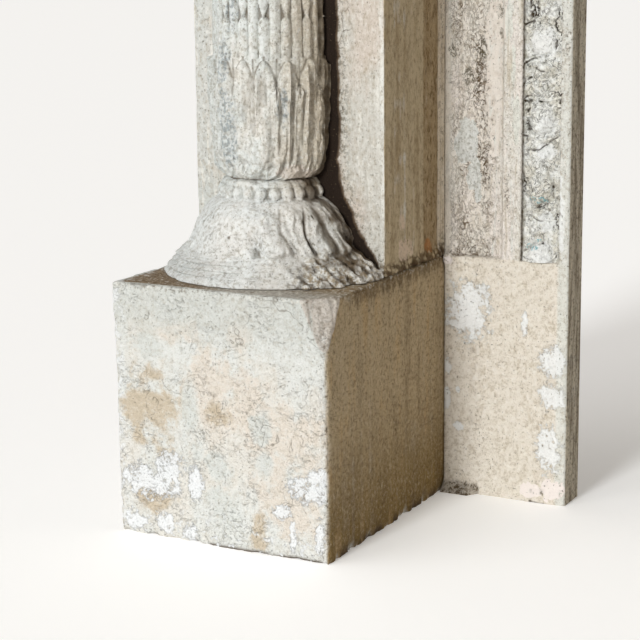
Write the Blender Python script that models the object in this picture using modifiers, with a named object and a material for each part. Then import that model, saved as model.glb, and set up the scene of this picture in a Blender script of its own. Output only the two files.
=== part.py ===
"""Plaster fireplace mantel: legs with engaged, leaf-carved columns, a moulded surround, a frieze and a shelf.

Metres, +Z up. X runs along the mantel, +Y goes into the wall, the origin is on the floor under the middle.
"""

import math

import bmesh
import bpy
import numpy as np

# The joint left between two castings that touch.
JOINT = 0.0003

# The hearth opening and the moulded surround that frames it.
OPENING_W = 0.950
OPENING_H = 0.900
SURROUND_W = 0.121
SURROUND_T = 0.035
COVE_IN = 0.063
COVE_W = 0.045
COVE_DEPTH = 0.008
COVE_POINTS = 7
BAND_IN = 0.010
BAND_W = 0.0355
BAND_DEPTH = 0.009
BAND_DRAFT = 0.0006
STOP_LEDGE = 0.0015

# The plinth blocks that carry the legs.
PLINTH_W = 0.209
PLINTH_H = 0.225
PLINTH_PROJECTION = 0.232
PLINTH_ROUNDING = 0.003
CHIP_FRONT = 0.021
CHIP_SIDE = 0.026
CHIP_DOWN = 0.037

# The flat pilasters behind the columns.
PILASTER_W = 0.189
PILASTER_INSET = 0.003
PILASTER_PROJECTION = 0.116

# The engaged columns: axis from the block's inner side, and forward of the pilaster's face.
COLUMN_IN = 0.110
COLUMN_PROUD = 0.004
LEAVES = 16
TURN_STEPS = 4 * LEAVES
SMOOTH_UP_TO = math.radians(35)

# The bell foot of the column, and the row of beads round its neck.
BASE_H = 0.079
BASE_R = 0.0985
BEADS = 24
BEAD_R = 0.0052
BEAD_SIDES = 6
BEAD_SEAT_R = 0.043
BEAD_UP = 0.067
BELL_RELIEF = 0.0020

# The shaft: a leaved cup, reeds and cables above it, then flutes.
SHAFT_FOOT_R = 0.036
SHAFT_R = 0.0515
SHAFT_TOP_R = 0.046
CUP_H = 0.103
CUP_SWELL_H = 0.050
LEAF_TIP_OUT = 0.0026
LEAF_GAP_DEPTH = 0.0018
LEAF_TIP_H = 0.022
REED_DEPTH = 0.0024
CABLE_TOP = 0.139
FLUTE_DEPTH = 0.0040
FLUTE_MARGIN = 0.022

# The capital: a half-round neck ring, a bell of leaves and a square abacus.
CAPITAL_H = 0.076
NECK_RING_R = 0.006
NECK_RING_POINTS = 3
CAPITAL_LIP_R = 0.064
CAPITAL_RELIEF = 0.0025
ABACUS_W = 0.146
ABACUS_H = 0.022

# The frieze, cornice and shelf, which break forward over the columns.
FRIEZE_H = 0.150
BREAK_PROJECTION = 0.075
FRIEZE_FILLET_H = 0.022
FRIEZE_FILLET_OUT = 0.006
CORNICE_H = 0.046
CORNICE_OUT = 0.034
CORNICE_FILLET = 0.007
COVETTO_POINTS = 5
SHELF_T = 0.036
SHELF_OUT = 0.052
SHELF_NOSE = 0.012
SHELF_ARRIS = 0.002
NOSE_POINTS = 6

# The carved band: eggs with a dart between each two, all sunk a little into its strip.
BAND_FLOOR_T = 0.0035
EGG_PITCH = 0.065
EGG_START = 0.0025
EGG_W = 0.026
EGG_H = 0.032
EGG_RELIEF = 0.0075
EGG_SEGMENTS = 6
EGG_RINGS = 4
DART_W = 0.016
DART_H = 0.026
DART_RELIEF = 0.0045
DART_RINGS = 3
SEAT = 0.0008

# Levels and planes worked out from the sizes above.
BREAK_OUT = PILASTER_PROJECTION + BREAK_PROJECTION + SHELF_OUT
DEPTH = SURROUND_T + max(PLINTH_PROJECTION, BREAK_OUT)
BACK_Y = DEPTH / 2
SURROUND_Y = BACK_Y - SURROUND_T
PLINTH_Y = SURROUND_Y - PLINTH_PROJECTION
PILASTER_Y = SURROUND_Y - PILASTER_PROJECTION
BREAK_Y = PILASTER_Y - BREAK_PROJECTION
BLOCK_IN_X = OPENING_W / 2 + SURROUND_W
BLOCK_OUT_X = BLOCK_IN_X + PLINTH_W
PILASTER_IN_X = BLOCK_IN_X + PILASTER_INSET
PILASTER_OUT_X = PILASTER_IN_X + PILASTER_W
COLUMN_X = BLOCK_IN_X + COLUMN_IN
COLUMN_Y = PILASTER_Y - COLUMN_PROUD
FRIEZE_Z = OPENING_H + SURROUND_W
SHAFT_Z = PLINTH_H + BASE_H
CAPITAL_Z = FRIEZE_Z - CAPITAL_H
SHAFT_H = CAPITAL_Z - SHAFT_Z
CORNICE_Z = FRIEZE_Z + FRIEZE_H
SHELF_Z = CORNICE_Z + CORNICE_H

PLASTER = (0.70, 0.66, 0.57)
OLD_WHITE = (0.74, 0.73, 0.68)
DIRTY_PLASTER = (0.60, 0.54, 0.45)


def clear_scene():
    """Removes the objects that the file opened with."""
    for obj in list(bpy.data.objects):
        bpy.data.objects.remove(obj)


def collection(name):
    """A collection linked to the scene."""
    made = bpy.data.collections.new(name)
    bpy.context.scene.collection.children.link(made)
    return made


def plaster(name, colour, roughness):
    """A matt painted plaster."""
    made = bpy.data.materials.new(name)
    made.use_nodes = True
    shader = made.node_tree.nodes["Principled BSDF"]
    shader.inputs["Base Color"].default_value = (*colour, 1.0)
    shader.inputs["Roughness"].default_value = roughness
    shader.inputs["Metallic"].default_value = 0.0
    return made


def placed(name, mesh, material, group):
    """An object of this mesh and material, in its collection."""
    obj = bpy.data.objects.new(name, mesh)
    mesh.name = name
    mesh.materials.clear()
    mesh.materials.append(material)
    mesh.shade_smooth()
    mesh.set_sharp_from_angle(angle=SMOOTH_UP_TO)
    group.objects.link(obj)
    return obj


def mesh_of(bm, name):
    """A mesh from a bmesh, with its faces pointing out."""
    bmesh.ops.recalc_face_normals(bm, faces=bm.faces)
    mesh = bpy.data.meshes.new(name)
    bm.to_mesh(mesh)
    bm.free()
    return mesh


def box_mesh(low, high, name="box"):
    """A box between two corners."""
    bm = bmesh.new()
    bmesh.ops.create_cube(bm, size=1.0)
    low, high = np.array(low), np.array(high)
    for vert in bm.verts:
        vert.co = (low + high) / 2 + np.array(vert.co) * (high - low)
    return mesh_of(bm, name)


def loft_mesh(sections, name="loft"):
    """A closed solid through equal-length outlines, one after another, with a flat cap at each end."""
    bm = bmesh.new()
    rings = [[bm.verts.new(point) for point in section] for section in sections]
    count = len(rings[0])
    for lower, upper in zip(rings, rings[1:]):
        for i in range(count):
            j = (i + 1) % count
            bm.faces.new((lower[i], lower[j], upper[j], upper[i]))
    bm.faces.new(rings[0])
    bm.faces.new(rings[-1])
    return mesh_of(bm, name)


def baked(obj):
    """The mesh that an object's modifiers make, with the object removed."""
    graph = bpy.context.evaluated_depsgraph_get()
    mesh = bpy.data.meshes.new_from_object(obj.evaluated_get(graph))
    bpy.data.objects.remove(obj)
    return mesh


def combined(body, other, operation, group):
    """Joins a mesh with another, or cuts it by the other, as one mesh."""
    target = placed("target", body, PAINTS["spare"], group)
    tool = placed("tool", other, PAINTS["spare"], group)
    cut = target.modifiers.new("join or cut", "BOOLEAN")
    cut.operation = operation
    cut.solver = "EXACT"
    cut.object = tool
    mesh = baked(target)
    bpy.data.objects.remove(tool)
    return mesh


def turned_mesh(profile, group):
    """A solid of revolution about Z. The profile lists (radius, height) down its outer side, axis to axis."""
    line = bpy.data.meshes.new("profile")
    count = len(profile)
    line.from_pydata([(r, 0.0, z) for r, z in profile], [(i, i + 1) for i in range(count - 1)], [])
    obj = bpy.data.objects.new("turning", line)
    group.objects.link(obj)
    screw = obj.modifiers.new("turn", "SCREW")
    screw.steps = TURN_STEPS
    screw.render_steps = TURN_STEPS
    screw.use_merge_vertices = True
    screw.merge_threshold = 0.0001
    return baked(obj)


def carve(mesh, relief):
    """Moves each point out from the axis by relief(phase, height). Phase is 0 on a leaf's rib, 1 midway."""
    pitch = 2 * math.pi / LEAVES
    for vert in mesh.vertices:
        radius = math.hypot(vert.co.x, vert.co.y)
        if radius < 0.001:
            continue
        turn = math.atan2(vert.co.x, -vert.co.y) / pitch
        phase = 2 * abs(turn - round(turn))
        grown = (radius + relief(phase, vert.co.z)) / radius
        vert.co.x *= grown
        vert.co.y *= grown


def ramp(value, low, high):
    """Runs evenly from 0 at low to 1 at high, and stays there."""
    return min(1.0, max(0.0, (value - low) / (high - low)))


def shifted(mesh, x, y, z):
    """Moves a mesh's own points."""
    for vert in mesh.vertices:
        vert.co.x += x
        vert.co.y += y
        vert.co.z += z
    return mesh


def mirrored(mesh):
    """A copy of a mesh on the other side of the middle."""
    copy = mesh.copy()
    for vert in copy.vertices:
        vert.co.x = -vert.co.x
    copy.flip_normals()
    return copy


def engaged(mesh, group):
    """Sets a turned piece on the left column's axis and cuts its back flat at the pilaster's face."""
    shifted(mesh, -COLUMN_X, COLUMN_Y, 0.0)
    margin = 2 * BASE_R
    low = (-COLUMN_X - margin, PILASTER_Y - JOINT, -margin)
    high = (-COLUMN_X + margin, PILASTER_Y + margin, FRIEZE_Z + margin)
    return combined(mesh, box_mesh(low, high), "DIFFERENCE", group)


def bead_row():
    """The ring of beads about Z, one of them at the front."""
    bm = bmesh.new()
    for k in range(BEADS):
        turn = 2 * math.pi * k / BEADS
        rows = BEAD_SIDES // 2
        made = bmesh.ops.create_uvsphere(bm, u_segments=BEAD_SIDES, v_segments=rows, radius=BEAD_R)
        for vert in made["verts"]:
            vert.co.x += BEAD_SEAT_R * math.sin(turn)
            vert.co.y -= BEAD_SEAT_R * math.cos(turn)
            vert.co.z += BEAD_UP
    return mesh_of(bm, "beads")


def plinth_block_mesh():
    """The left plinth block, a plain casting with softened edges."""
    return box_mesh((-BLOCK_OUT_X, PLINTH_Y, 0.0), (-BLOCK_IN_X, BACK_Y, PLINTH_H))


def soften(obj):
    """Rounds the block's edges a little, as worn paint does."""
    bevel = obj.modifiers.new("worn edges", "BEVEL")
    bevel.width = PLINTH_ROUNDING
    bevel.segments = 2
    bevel.limit_method = "ANGLE"


def chip_cutter(group):
    """The corner knocked off the left block: a plane through three points by its inner top corner."""
    corner = np.array((-BLOCK_IN_X, PLINTH_Y, PLINTH_H))
    reach = 3.0
    edges = np.array(((-CHIP_FRONT, 0, 0), (0, CHIP_SIDE, 0), (0, 0, -CHIP_DOWN)))
    outer = corner - edges.sum(axis=0) * (reach - 1)
    bm = bmesh.new()
    far = [bm.verts.new(outer)]
    # The tetrahedron's other corners lie on the cutting plane, so that its slope stays as the chip's.
    scale = 1 + 3 * (reach - 1)
    far += [bm.verts.new(outer + edge * scale) for edge in edges]
    for skip in range(4):
        bm.faces.new([v for i, v in enumerate(far) if i != skip])
    cutter = placed("corner_chip", mesh_of(bm, "chip"), PAINTS["spare"], group)
    cutter.hide_render = True
    cutter.display_type = "WIRE"
    return cutter


def pilaster_mesh(group):
    """The left pilaster, with a flange behind it that the upright of the surround butts against."""
    foot = (-PILASTER_OUT_X, PILASTER_Y, PLINTH_H + JOINT)
    whole = box_mesh(foot, (-BLOCK_IN_X, BACK_Y, FRIEZE_Z - JOINT))
    margin = PILASTER_PROJECTION
    low = (-PILASTER_IN_X, PILASTER_Y - margin, PLINTH_H - margin)
    high = (-PILASTER_IN_X + margin, SURROUND_Y, FRIEZE_Z + margin)
    return combined(whole, box_mesh(low, high), "DIFFERENCE", group)


def bell_profile():
    """The bell foot from the beads' seat down to its rim, as (radius, height)."""
    rise = BEAD_UP - BEAD_R
    leaves = [(0.58, 0.92), (0.66, 0.82), (0.72, 0.70), (0.77, 0.52), (0.80, 0.37)]
    rim = [(0.86, 0.28), (0.93, 0.15), (0.985, 0.04)]
    return [(BASE_R * r, rise * h) for r, h in leaves + rim]


def column_base_mesh(group):
    """The bell-shaped foot with hanging leaves and a row of beads."""
    profile = [
        (0.0, BASE_H),
        (SHAFT_FOOT_R, BASE_H),
        (BEAD_SEAT_R - BEAD_R / 2, BASE_H - BEAD_R / 2),
        (BEAD_SEAT_R, BEAD_UP),
        (BEAD_SEAT_R + BEAD_R / 2, BEAD_UP - BEAD_R),
        *bell_profile(),
        (BASE_R, JOINT),
        (0.0, JOINT),
    ]
    mesh = turned_mesh(profile, group)

    def relief(phase, height):
        share = height / BEAD_UP
        swell = ramp(share, 0.27, 0.42) * (1 - ramp(share, 0.70, 0.85))
        return BELL_RELIEF * swell * (1 - 2 * phase)

    carve(mesh, relief)
    mesh = combined(mesh, bead_row(), "UNION", group)
    return engaged(shifted(mesh, 0.0, 0.0, PLINTH_H), group)


def shaft_radius(height):
    """The shaft's plain radius above its foot: a rounded cup, then a long even taper."""
    if height < CUP_SWELL_H:
        return SHAFT_FOOT_R + (SHAFT_R - SHAFT_FOOT_R) * (height / CUP_SWELL_H) ** 0.42
    return SHAFT_R + (SHAFT_TOP_R - SHAFT_R) * ramp(height, CUP_H, SHAFT_H)


def shaft_relief(phase, height):
    """Tall leaves on the cup, then reeds with cables, then flutes with a plain collar above them."""
    if height < 2 * JOINT or height > SHAFT_H - FLUTE_MARGIN:
        return 0.0
    if height <= CUP_H:
        inside = phase <= math.sqrt(ramp(CUP_H - height, 0.0, LEAF_TIP_H))
        if inside:
            return LEAF_TIP_OUT * ramp(height, CUP_H / 2, CUP_H) - LEAF_GAP_DEPTH * phase / 2
        return -LEAF_GAP_DEPTH
    if height <= CABLE_TOP:
        return -REED_DEPTH * (1 - abs(2 * phase - 1))
    return -FLUTE_DEPTH * (1 - phase) ** 0.5


def column_shaft_mesh(group):
    """The tall shaft, carved as shaft_relief says."""
    step = 2 * LEAF_TIP_OUT
    cup = [CUP_H * share for share in (0.03, 0.12, 0.28, 0.50, 0.78, 0.91, 1.0)]
    reeds = [CUP_H + step / 2, CABLE_TOP, CABLE_TOP + step]
    flutes = [SHAFT_H - FLUTE_MARGIN, SHAFT_H - FLUTE_MARGIN + step]
    outer = [(shaft_radius(h), h) for h in cup + reeds + flutes]
    outer.append((SHAFT_TOP_R, SHAFT_H - JOINT))
    profile = [(0.0, SHAFT_H - JOINT), *reversed(outer), (SHAFT_FOOT_R, JOINT), (0.0, JOINT)]
    mesh = turned_mesh(profile, group)
    carve(mesh, shaft_relief)
    return engaged(shifted(mesh, 0.0, 0.0, SHAFT_Z), group)


def column_capital_mesh(group):
    """The capital: a neck ring, a short bell of leaves and a square abacus."""
    bell_top = CAPITAL_H - ABACUS_H
    neck = 2 * NECK_RING_R + SEAT
    rise = bell_top - neck
    spread = CAPITAL_LIP_R - SHAFT_TOP_R
    bell = [(0.9, 0.97), (1.0, 0.88), (0.55, 0.62), (0.12, 0.2)]
    turns = [math.pi * (0.5 - k / NECK_RING_POINTS) for k in range(NECK_RING_POINTS + 1)]
    ring = [(SHAFT_TOP_R + NECK_RING_R * math.cos(t), neck - NECK_RING_R * (1 - math.sin(t))) for t in turns]
    profile = [
        (0.0, bell_top + SEAT),
        (SHAFT_TOP_R + spread * 0.7, bell_top + SEAT),
        *[(SHAFT_TOP_R + spread * r, neck + rise * h) for r, h in bell],
        *ring,
        (SHAFT_TOP_R, JOINT),
        (0.0, JOINT),
    ]
    mesh = turned_mesh(profile, group)

    def relief(phase, height):
        share = (height - neck) / rise
        return CAPITAL_RELIEF * ramp(share, 0.2, 0.8) * (1 - ramp(share, 0.9, 1.0)) * (1 - 2 * phase)

    carve(mesh, relief)
    half = ABACUS_W / 2
    abacus = box_mesh((-half, -half, bell_top), (half, half, CAPITAL_H - JOINT))
    mesh = combined(mesh, abacus, "UNION", group)
    return engaged(shifted(mesh, 0.0, 0.0, CAPITAL_Z), group)


def surround_section():
    """The surround's outline as (distance from the opening's edge, depth behind the face, is sunk)."""
    points = [(0.0, 0.0, 0), (BAND_IN, 0.0, 0), (BAND_IN + BAND_DRAFT, BAND_DEPTH, 1)]
    points += [(BAND_IN + BAND_W - BAND_DRAFT, BAND_DEPTH, 1), (BAND_IN + BAND_W, 0.0, 0)]
    for k in range(COVE_POINTS):
        share = k / (COVE_POINTS - 1)
        points.append((COVE_IN + COVE_W * share, COVE_DEPTH * math.sin(math.pi * share), 1))
    points += [(SURROUND_W, 0.0, 0), (SURROUND_W, SURROUND_T, 0), (0.0, SURROUND_T, 0)]
    return points


def jamb_mesh():
    """The left upright of the surround: a plain foot, then mouldings up to a mitre."""
    section = surround_section()
    half = OPENING_W / 2

    def ring(level, sunk):
        made = []
        for inward, depth, is_sunk in section:
            x = -half - min(inward, SURROUND_W - JOINT)
            y = SURROUND_Y + (depth if sunk or not is_sunk else 0.0)
            made.append((x, y, level(inward)))
        return made

    return loft_mesh([
        ring(lambda u: 0.0, False),
        ring(lambda u: PLINTH_H - STOP_LEDGE, False),
        ring(lambda u: PLINTH_H, True),
        ring(lambda u: OPENING_H + u - JOINT, True),
    ])


def lintel_mesh():
    """The surround's top, mitred at both ends to the uprights."""
    section = surround_section()
    half = OPENING_W / 2

    def ring(side):
        reach = [min(inward, SURROUND_W - JOINT) for inward, _, _ in section]
        depths = [depth for _, depth, _ in section]
        return [(side * (half + u), SURROUND_Y + d, OPENING_H + u) for u, d in zip(reach, depths)]

    return loft_mesh([ring(-1), ring(1)])


def band_strip(length_at):
    """The carved band's flat strip, along +Z, as a loft. length_at(u, end) gives where each end is cut."""
    inner = BAND_IN + BAND_DRAFT + JOINT
    outer = BAND_IN + BAND_W - BAND_DRAFT - JOINT
    back = BAND_DEPTH - JOINT
    front = back - BAND_FLOOR_T
    section = [(inner, front), (outer, front), (outer, back), (inner, back)]
    return loft_mesh([[(u, d, length_at(u, end)) for u, d in section] for end in (0, 1)])


def add_knob(bm, z, width, height, relief, rings, floor_z):
    """Half an ovoid on the band's face, cut flat where the band begins."""
    middle = BAND_IN + BAND_W / 2
    face = BAND_DEPTH - JOINT - BAND_FLOOR_T + SEAT
    made = bmesh.ops.create_uvsphere(bm, u_segments=EGG_SEGMENTS, v_segments=rings, radius=1.0)
    for vert in made["verts"]:
        x, y, w = vert.co
        deep = min(y * (relief + SEAT), 0.0)
        vert.co = (middle + x * width / 2, face + deep, max(z + w * height / 2, floor_z + SEAT / 2))


def band_carving(centres, low, high):
    """Eggs at these places along the band, with a dart midway between each two."""
    bm = bmesh.new()
    for z in centres:
        add_knob(bm, z, EGG_W, EGG_H, EGG_RELIEF, EGG_RINGS, low)
        if z + EGG_PITCH / 2 + DART_H / 2 < high:
            add_knob(bm, z + EGG_PITCH / 2, DART_W, DART_H, DART_RELIEF, DART_RINGS, low)
    return mesh_of(bm, "carving")


def upright_band_mesh(group):
    """The carved band in the left upright, as (x, y, z)."""
    foot = PLINTH_H + JOINT

    def cut(u, end):
        return foot if end == 0 else OPENING_H + u - 2 * JOINT

    count = int((OPENING_H + BAND_IN - PLINTH_H - EGG_START - EGG_H / 2) / EGG_PITCH)
    centres = [PLINTH_H + EGG_START + EGG_PITCH * k for k in range(count + 1)]
    mesh = combined(band_strip(cut), band_carving(centres, foot, OPENING_H + BAND_IN), "UNION", group)
    half = OPENING_W / 2
    for vert in mesh.vertices:
        u, d, z = vert.co
        vert.co = (-half - u, SURROUND_Y + d, z)
    mesh.flip_normals()
    return mesh


def lintel_band_mesh(group):
    """The carved band in the lintel, mitred at both ends."""
    half = OPENING_W / 2

    def cut(u, end):
        reach = half + u - 2 * JOINT
        return reach if end else -reach

    count = int((half + BAND_IN - EGG_H / 2) / EGG_PITCH)
    centres = [EGG_PITCH * k for k in range(-count, count + 1)]
    mesh = combined(band_strip(cut), band_carving(centres, -half, half + BAND_IN), "UNION", group)
    for vert in mesh.vertices:
        u, d, z = vert.co
        vert.co = (z, SURROUND_Y + d, OPENING_H + u)
    mesh.flip_normals()
    return mesh


def break_plan(out, z):
    """The outline of a slab that breaks forward over the columns, grown out by this much."""
    outer, inner = PILASTER_OUT_X + out, PILASTER_IN_X - out
    front, middle = BREAK_Y - out, PILASTER_Y - out
    half = [(inner, middle), (inner, front), (outer, front), (outer, BACK_Y)]
    plan = [(-x, y) for x, y in reversed(half)] + half
    return [(x, y, z) for x, y in plan]


def frieze_mesh():
    """The plain frieze, with a flat fillet along its foot."""
    fillet_top = FRIEZE_Z + FRIEZE_FILLET_H
    profile = [
        (FRIEZE_FILLET_OUT, FRIEZE_Z),
        (FRIEZE_FILLET_OUT, fillet_top),
        (0.0, fillet_top + FRIEZE_FILLET_OUT),
        (0.0, CORNICE_Z - JOINT),
    ]
    return loft_mesh([break_plan(out, z) for out, z in profile])


def cornice_mesh():
    """The moulding under the shelf: a fillet, a hollow and a fillet."""
    hollow = CORNICE_H - 2 * CORNICE_FILLET
    profile = [(CORNICE_FILLET / 2, CORNICE_Z), (CORNICE_FILLET / 2, CORNICE_Z + CORNICE_FILLET)]
    for k in range(COVETTO_POINTS + 1):
        turn = math.pi / 2 * k / COVETTO_POINTS
        out = CORNICE_FILLET + (CORNICE_OUT - 1.5 * CORNICE_FILLET) * (1 - math.cos(turn))
        profile.append((out, CORNICE_Z + CORNICE_FILLET + SEAT + (hollow - SEAT) * math.sin(turn)))
    profile += [(CORNICE_OUT, SHELF_Z - CORNICE_FILLET), (CORNICE_OUT, SHELF_Z - JOINT)]
    return loft_mesh([break_plan(out, z) for out, z in profile])


def shelf_mesh():
    """The shelf, with a rounded nose."""
    profile = [(SHELF_OUT - SHELF_NOSE, SHELF_Z)]
    for k in range(NOSE_POINTS + 1):
        turn = math.pi * (k / NOSE_POINTS - 0.5)
        out = SHELF_OUT - SHELF_NOSE * (1 - math.cos(turn))
        profile.append((out, SHELF_Z + SHELF_T / 2 + (SHELF_T / 2 - SHELF_ARRIS) * math.sin(turn)))
    profile.append((SHELF_OUT - SHELF_NOSE - SHELF_ARRIS, SHELF_Z + SHELF_T))
    return loft_mesh([break_plan(out, z) for out, z in profile])


PAINTS = {}


def main():
    """Builds the mantel, left leg first, and mirrors what repeats on the right."""
    clear_scene()
    PAINTS.update(
        spare=plaster("spare", PLASTER, 0.9),
        block=plaster("painted_plaster", PLASTER, 0.88),
        column=plaster("carved_plaster", OLD_WHITE, 0.85),
        surround=plaster("surround_plaster", DIRTY_PLASTER, 0.88),
        band=plaster("band_plaster", OLD_WHITE, 0.85),
        top=plaster("shelf_plaster", PLASTER, 0.80),
    )
    group = collection("plaster_fireplace_mantel")
    cutters = collection("cutters")

    pairs = {
        "plinth_block": (plinth_block_mesh(), "block"),
        "pilaster": (pilaster_mesh(cutters), "block"),
        "column_base": (column_base_mesh(cutters), "column"),
        "column_shaft": (column_shaft_mesh(cutters), "column"),
        "column_capital": (column_capital_mesh(cutters), "column"),
        "surround_jamb": (jamb_mesh(), "surround"),
        "jamb_band": (upright_band_mesh(cutters), "band"),
    }
    for name, (mesh, paint) in pairs.items():
        right = placed("right_" + name, mirrored(mesh), PAINTS[paint], group)
        left = placed("left_" + name, mesh, PAINTS[paint], group)
        if name == "plinth_block":
            soften(right)
            soften(left)
            chip = left.modifiers.new("knocked corner", "BOOLEAN")
            chip.operation = "DIFFERENCE"
            chip.solver = "EXACT"
            chip.object = chip_cutter(cutters)

    placed("surround_lintel", lintel_mesh(), PAINTS["surround"], group)
    placed("lintel_band", lintel_band_mesh(cutters), PAINTS["band"], group)
    placed("frieze", frieze_mesh(), PAINTS["block"], group)
    placed("cornice", cornice_mesh(), PAINTS["block"], group)
    placed("shelf", shelf_mesh(), PAINTS["top"], group)


main()
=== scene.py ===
import math

import bpy
import numpy as np
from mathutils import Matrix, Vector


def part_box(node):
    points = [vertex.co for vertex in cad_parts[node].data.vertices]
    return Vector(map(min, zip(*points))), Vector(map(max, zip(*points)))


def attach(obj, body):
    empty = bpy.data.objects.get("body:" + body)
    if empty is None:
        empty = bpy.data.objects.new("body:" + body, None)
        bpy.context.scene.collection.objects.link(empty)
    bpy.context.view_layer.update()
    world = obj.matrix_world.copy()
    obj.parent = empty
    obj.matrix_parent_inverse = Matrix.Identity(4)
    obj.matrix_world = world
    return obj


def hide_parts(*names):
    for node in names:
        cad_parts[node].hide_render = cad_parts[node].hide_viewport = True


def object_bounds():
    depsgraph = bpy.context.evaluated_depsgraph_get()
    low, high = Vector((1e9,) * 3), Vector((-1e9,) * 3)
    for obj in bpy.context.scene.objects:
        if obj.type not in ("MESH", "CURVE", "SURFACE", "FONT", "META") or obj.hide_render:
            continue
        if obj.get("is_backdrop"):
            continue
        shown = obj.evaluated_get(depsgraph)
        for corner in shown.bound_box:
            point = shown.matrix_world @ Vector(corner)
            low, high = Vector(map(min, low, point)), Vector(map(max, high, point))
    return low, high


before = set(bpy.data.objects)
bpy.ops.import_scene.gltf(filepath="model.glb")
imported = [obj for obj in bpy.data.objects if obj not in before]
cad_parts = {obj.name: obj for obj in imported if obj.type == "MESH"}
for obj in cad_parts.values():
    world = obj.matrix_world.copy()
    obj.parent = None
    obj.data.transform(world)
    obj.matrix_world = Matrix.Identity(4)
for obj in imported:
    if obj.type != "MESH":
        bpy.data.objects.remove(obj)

CAD_LOW, CAD_HIGH = (np.array(corner, float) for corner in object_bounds())

# The room: a pale floor, a broad soft key light from the viewer's left and a soft light from above.
# The camera stands a long step back from the left leg, to its right, and looks down on the plinth a little.


def box(node):
    """The low and high corners of a solid's box."""
    return (np.array(corner, float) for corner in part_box(node))


BLOCK_LOW, BLOCK_HIGH = box("left_plinth_block")
IMAGE_WIDTH = 640
FOCAL_PIXELS = 1820
SENSOR_MM = 36
CAMERA_OFF_CORNER = (0.6774, -1.2727, 0.5269)
CAMERA_YAW = math.radians(28.213)
CAMERA_PITCH = math.radians(12.387)
CAMERA_ROLL = math.radians(-0.70)


def look(yaw, pitch, roll):
    """The camera's right, up and backward axes. Yaw turns it left of +Y, pitch tips it down, roll turns
    it."""
    forward = np.array((-math.sin(yaw) * math.cos(pitch), math.cos(yaw) * math.cos(pitch), -math.sin(pitch)))
    level = np.array((math.cos(yaw), math.sin(yaw), 0.0))
    upright = np.cross(level, forward)
    right = math.cos(roll) * level + math.sin(roll) * upright
    up = math.cos(roll) * upright - math.sin(roll) * level
    return right, up, -forward


camera_data = bpy.data.cameras.new("camera")
camera_data.sensor_width = SENSOR_MM
camera_data.lens = SENSOR_MM * FOCAL_PIXELS / IMAGE_WIDTH
camera = bpy.data.objects.new("camera", camera_data)
bpy.context.scene.collection.objects.link(camera)
camera_place = np.eye(4)
camera_place[:3, :3] = np.array(look(CAMERA_YAW, CAMERA_PITCH, CAMERA_ROLL)).T
camera_place[:3, 3] = np.array((BLOCK_HIGH[0], BLOCK_LOW[1], 0.0)) + CAMERA_OFF_CORNER
camera.matrix_world = camera_place.T.tolist()
bpy.context.scene.camera = camera


def sunlight(name, azimuth, elevation, spread, strength, colour):
    """A soft light from far off. Azimuth 0 is straight in front of the mantel, positive to its right."""
    data = bpy.data.lights.new(name, "SUN")
    data.energy = strength
    data.angle = math.radians(spread)
    data.color = colour
    lamp = bpy.data.objects.new(name, data)
    azimuth, elevation = math.radians(azimuth), math.radians(elevation)
    lamp.rotation_euler = (math.pi / 2 - elevation, 0.0, azimuth)
    bpy.context.scene.collection.objects.link(lamp)


sunlight("key_light", azimuth=-5, elevation=18, spread=12, strength=2.68, colour=(0.94, 0.975, 1.0))
sunlight("top_light", azimuth=-40, elevation=62, spread=40, strength=0.95, colour=(0.99, 0.99, 1.0))

world = bpy.data.worlds.new("studio")
world.use_nodes = True
sky = world.node_tree.nodes["Background"].inputs
sky["Color"].default_value = (1.0, 0.94, 0.87, 1.0)
sky["Strength"].default_value = 0.31
bpy.context.scene.world = world
bpy.context.scene.view_settings.view_transform = "Standard"

FLOOR_REACH = 200.0
floor_corners = np.array(((-1, -1, 0), (1, -1, 0), (1, 1, 0), (-1, 1, 0))) * FLOOR_REACH
floor_mesh = bpy.data.meshes.new("floor")
floor_mesh.from_pydata(floor_corners.tolist(), [], [(0, 1, 2, 3)])
floor = bpy.data.objects.new("floor", floor_mesh)
bpy.context.scene.collection.objects.link(floor)
floor_paint = bpy.data.materials.new("floor_paint")
floor_paint.use_nodes = True
floor_shader = floor_paint.node_tree.nodes["Principled BSDF"].inputs
floor_shader["Base Color"].default_value = (0.93, 0.92, 0.90, 1.0)
floor_shader["Roughness"].default_value = 0.9
floor_shader["Emission Color"].default_value = (1.0, 1.0, 1.0, 1.0)
floor_shader["Emission Strength"].default_value = 0.16
floor_mesh.materials.append(floor_paint)
floor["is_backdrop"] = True

# The plinth blocks: square plaster castings painted many times, with crumbled edges and paint lost in flakes.
# The left one has lost its inner top corner. Each stands on the floor and carries a pilaster and a column.

BLOCK_WEAR = 0.0019
CHIP_POINTS = ((-0.023, 0.0, 0.0), (0.0, 0.026, 0.0), (0.0, 0.0, -0.049))
BLOCK_CRUMBLE = 0.0046
BLOCK_FLAKES = 0.0030
GNAWED_REACH = 0.006
INNERMOST_RING = 0.03
LATTICE_STEPS = np.array((12.9898, 78.233, 37.719))
SEED_STEP = 4.1414
HASH_SCALE = 43758.5453
SHARP_FROM = math.radians(60)


def lattice_noise(points, size, seed):
    """Smooth noise from -1 to 1: a hashed value at each corner of a cubic lattice, blended by 3t^2 -
    2t^3."""
    cell = np.floor(points / size)
    blend = points / size - cell
    blend = blend * blend * (3 - 2 * blend)
    total = np.zeros(points.shape[:-1])
    for corner in np.ndindex(2, 2, 2):
        key = (cell + corner) @ LATTICE_STEPS + seed * SEED_STEP
        value = np.modf(np.sin(key) * HASH_SCALE)[0]
        total += value * np.prod(np.where(corner, blend, 1 - blend), axis=-1)
    return total


def rough(points, size, seed, octaves=3):
    """Noise summed over octaves: each is half the size and half the strength of the one before."""
    return sum(lattice_noise(points, size / 2**k, seed + 7 * k) / 2**k for k in range(octaves))


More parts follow.
